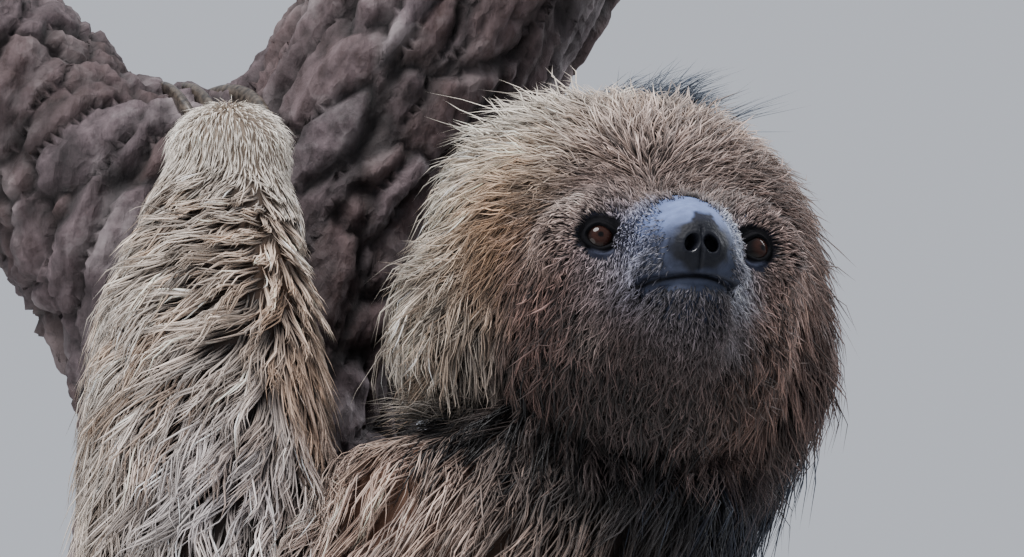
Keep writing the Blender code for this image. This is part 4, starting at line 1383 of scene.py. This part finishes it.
def barkMaterial():
    made, tree, shader = newMaterial("bark")
    deep, plates, _ = channels(tree, attribute(tree, "marking"))
    fine = noiseFrom(tree, objectPlaces(tree, (1, 1, 0.5)), 220, 6, 0.65)
    broad = noiseFrom(tree, objectPlaces(tree), 45, 5, 0.6)
    plate = mixed(tree, ranged(tree, fine, 0, 1, 0.3, 0.7), tone(bark["dark"]), tone(bark["light"]))
    plate = mixed(tree, ranged(tree, broad, 0, 0.7, 0.50, 0.62), plate, tone(bark["weathered"]))
    plate = mixed(tree, ranged(tree, plates, 0, 0.5), plate, tone(bark["warm"]))
    flakes = add(tree, "TexVoronoi", {"Vector": objectPlaces(tree, (1, 1, 0.6))}, Scale=210)
    wire(
        # the marking's red channel darkens the fissures and grooves: partly inner bark, partly painted shade
        shader, Base_Color=mixed(tree, deep, tone(bark["crack"]), plate),
        Roughness=ranged(tree, fine, 0.75, 0.98),
        Normal=bump(tree, fine, 0.0014, 0.9, Normal=bump(tree, flakes, 0.0020, 0.7)),
    )
    return made


def makePerch():
    perch = copyOf("perch_trunk")
    perch.name = "perch"
    useModifier(perch, "REMESH", mode="VOXEL", voxel_size=bark["voxel"])
    useModifier(perch, "SMOOTH", factor=0.5, iterations=2)
    mesh = perch.data
    points, normals = pointsOf(mesh), normalsOf(mesh)
    low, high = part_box("perch_trunk")
    wobble = [blotches(points, 0.028, seed) + 0.4 * blotches(points, 0.009, seed + 5) for seed in (1, 2, 3)]
    bent = points + bark["wobble"] * np.stack(wobble, 1)
    slant = radians(barkPlate["slant"])
    bent = bent @ np.array(((cos(slant), 0, sin(slant)), (0, 1, 0), (-sin(slant), 0, cos(slant))))
    bent = bent * (1, 1, 1 / barkPlate["along"])
    wide, plate = cracks(bent, barkPlate["across"], 3)
    narrow, flake = cracks(bent + 0.01, barkPlate["across"] * bark["flakes"], 4)
    fissure = 1 - ramp(0.0, 0.14, wide)
    minor = (1 - ramp(0.0, 0.18, narrow)) * (0.3 + 0.7 * plate)
    sink = fissure * bark["fissures"] + minor * bark["plates"] + (plate - 0.5) * bark["plates"]
    coarse, fine = (
        (1 - np.abs(blotches(bent * (1, 1, 0.6), size, seed)) * 1.6).clip(0, 1)
        for size, seed in ((0.011, 21), (0.0055, 22))
    )
    sink += coarse**2 * bark["ridges"] + fine**2 * bark["grain"]
    sink += (0.5 + 0.5 * blotches(points, 0.0042, 13)) * bark["grain"] - bark["proud"]
    upward = (np.abs(normals[:, 1]) < 0.2) & (normals[:, 2] > 0.5)
    ends = (points[:, 2] < low.z + sawn["low"]) | upward & (points[:, 2] > high.z - sawn["high"])
    setPoints(mesh, points - normals * np.where(ends, 0, sink)[:, None])
    # darker where the bark is sunk, partly inner bark, partly painted shade in the fissures and grooves;
    # plates vary at random
    height = (1 - 0.85 * fissure) * (1 - 0.45 * minor) * (0.75 + 0.5 * flake) * (1 - 0.6 * coarse**3)
    paint(mesh, "marking", np.stack([height.clip(0, 1), plate, np.zeros(len(points))], 1))
    finishPiece(perch, barkMaterial(), "bark", "perch_trunk")
    print("perch:", len(mesh.polygons), "faces")


makePerch()

# stand

standTones = {"wood": ("3a2519", "5d3f2b"), "grain": "2a190f", "steel": ("9a9a9e", "c4c4c8")}


def woodMaterial():
    made, tree, shader = newMaterial("stand_wood")
    rings = noiseFrom(tree, objectPlaces(tree, (0.6, 14.0, 14.0)), 5, 6, 0.6)
    fine = noiseFrom(tree, objectPlaces(tree, (1, 40, 40)), 40, 4)
    colour = mixed(tree, ranged(tree, rings, 0, 1, 0.35, 0.65), *map(tone, standTones["wood"]))
    wire(
        shader, Base_Color=mixed(tree, ranged(tree, fine, 0, 0.5), colour, tone(standTones["grain"])),
        Roughness=ranged(tree, fine, 0.32, 0.5), Normal=bump(tree, fine, 0.0003, 0.3),
    )
    return made


def steelMaterial():
    made, tree, shader = newMaterial("stand_steel")
    brushed = noiseFrom(tree, objectPlaces(tree, (1, 1, 60)), 30, 3)
    wire(
        shader, Base_Color=mixed(tree, brushed, *map(tone, standTones["steel"])),
        Roughness=ranged(tree, brushed, 0.24, 0.42), Metallic=1.0,
    )
    return made


wood, steel = woodMaterial(), steelMaterial()
for node, material in {"stand_base": wood, "stand_rod_left": steel, "stand_rod_right": steel}.items():
    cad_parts[node].data.materials.clear()
    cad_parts[node].data.materials.append(material)
print("stand: wood and steel")

# floor, light and camera

studio = {
    "floor": ((0.60, 0.60, 0.59), (0.64, 0.64, 0.63)), "across": 60, "below": 0.0005,  # metres
    "air": (0.77, 0.81, 0.90), "strength": 0.75,
}
lamps = {  # place, size, power, colour and what it points at
    "sky": ((-0.45, -0.75, 2.3), 1.0, 62, (1.0, 0.98, 0.98), headCentre),
    "rim": ((1.1, 0.5, 1.4), 0.8, 16, (0.95, 0.97, 1.0), headCentre),
    "fill": ((-0.9, -0.9, 0.30), 1.0, 7, (1.0, 0.98, 0.97), middleOf("upper_arm_left")),
}
view = {"distance": 1.2, "lookUp": 8, "lens": 145.5, "aim": (-0.034, -0.005, 0.001)}  # aim: from the head


def makeFloor():
    bpy.ops.mesh.primitive_plane_add(size=studio["across"], location=(0, 0, cadBox[0].z - studio["below"]))
    floor = bpy.context.object
    floor.name = "floor"
    made, tree, shader = newMaterial("floor")
    soft = noiseFrom(tree, objectPlaces(tree), 3, 2)
    wire(shader, Base_Color=mixed(tree, soft, *studio["floor"]), Roughness=0.85)
    floor.data.materials.append(made)


def makeWorld():
    world = bpy.data.worlds.new("studio")
    world.use_nodes = True
    wire(world.node_tree.nodes["Background"], Color=(*studio["air"], 1), Strength=studio["strength"])
    bpy.context.scene.world = world


def makeLamp(name, place, size, power, colour, aim):
    light = bpy.data.lights.new(name, "AREA")
    light.shape = "DISK"
    light.size = size
    light.energy = power
    light.color = colour
    lamp = bpy.data.objects.new(name, light)
    bpy.context.scene.collection.objects.link(lamp)
    lamp.location = place
    lamp.rotation_euler = (Vector(aim) - Vector(place)).to_track_quat("-Z", "Y").to_euler()


def makeCamera():
    aim = headCentre + Vector(view["aim"])
    tilt = radians(view["lookUp"])
    data = bpy.data.cameras.new("camera")
    data.lens = view["lens"]
    data.clip_start = 0.05
    data.clip_end = 100
    camera = bpy.data.objects.new("camera", data)
    bpy.context.scene.collection.objects.link(camera)
    camera.location = aim - Vector((0, cos(tilt), sin(tilt))) * view["distance"]
    camera.rotation_euler = (pi / 2 + tilt, 0, 0)
    bpy.context.scene.camera = camera


makeFloor()
makeWorld()
for name, settings in lamps.items():
    makeLamp(name, *settings)
makeCamera()
print("floor, world,", len(lamps), "lamps and the camera: in place")
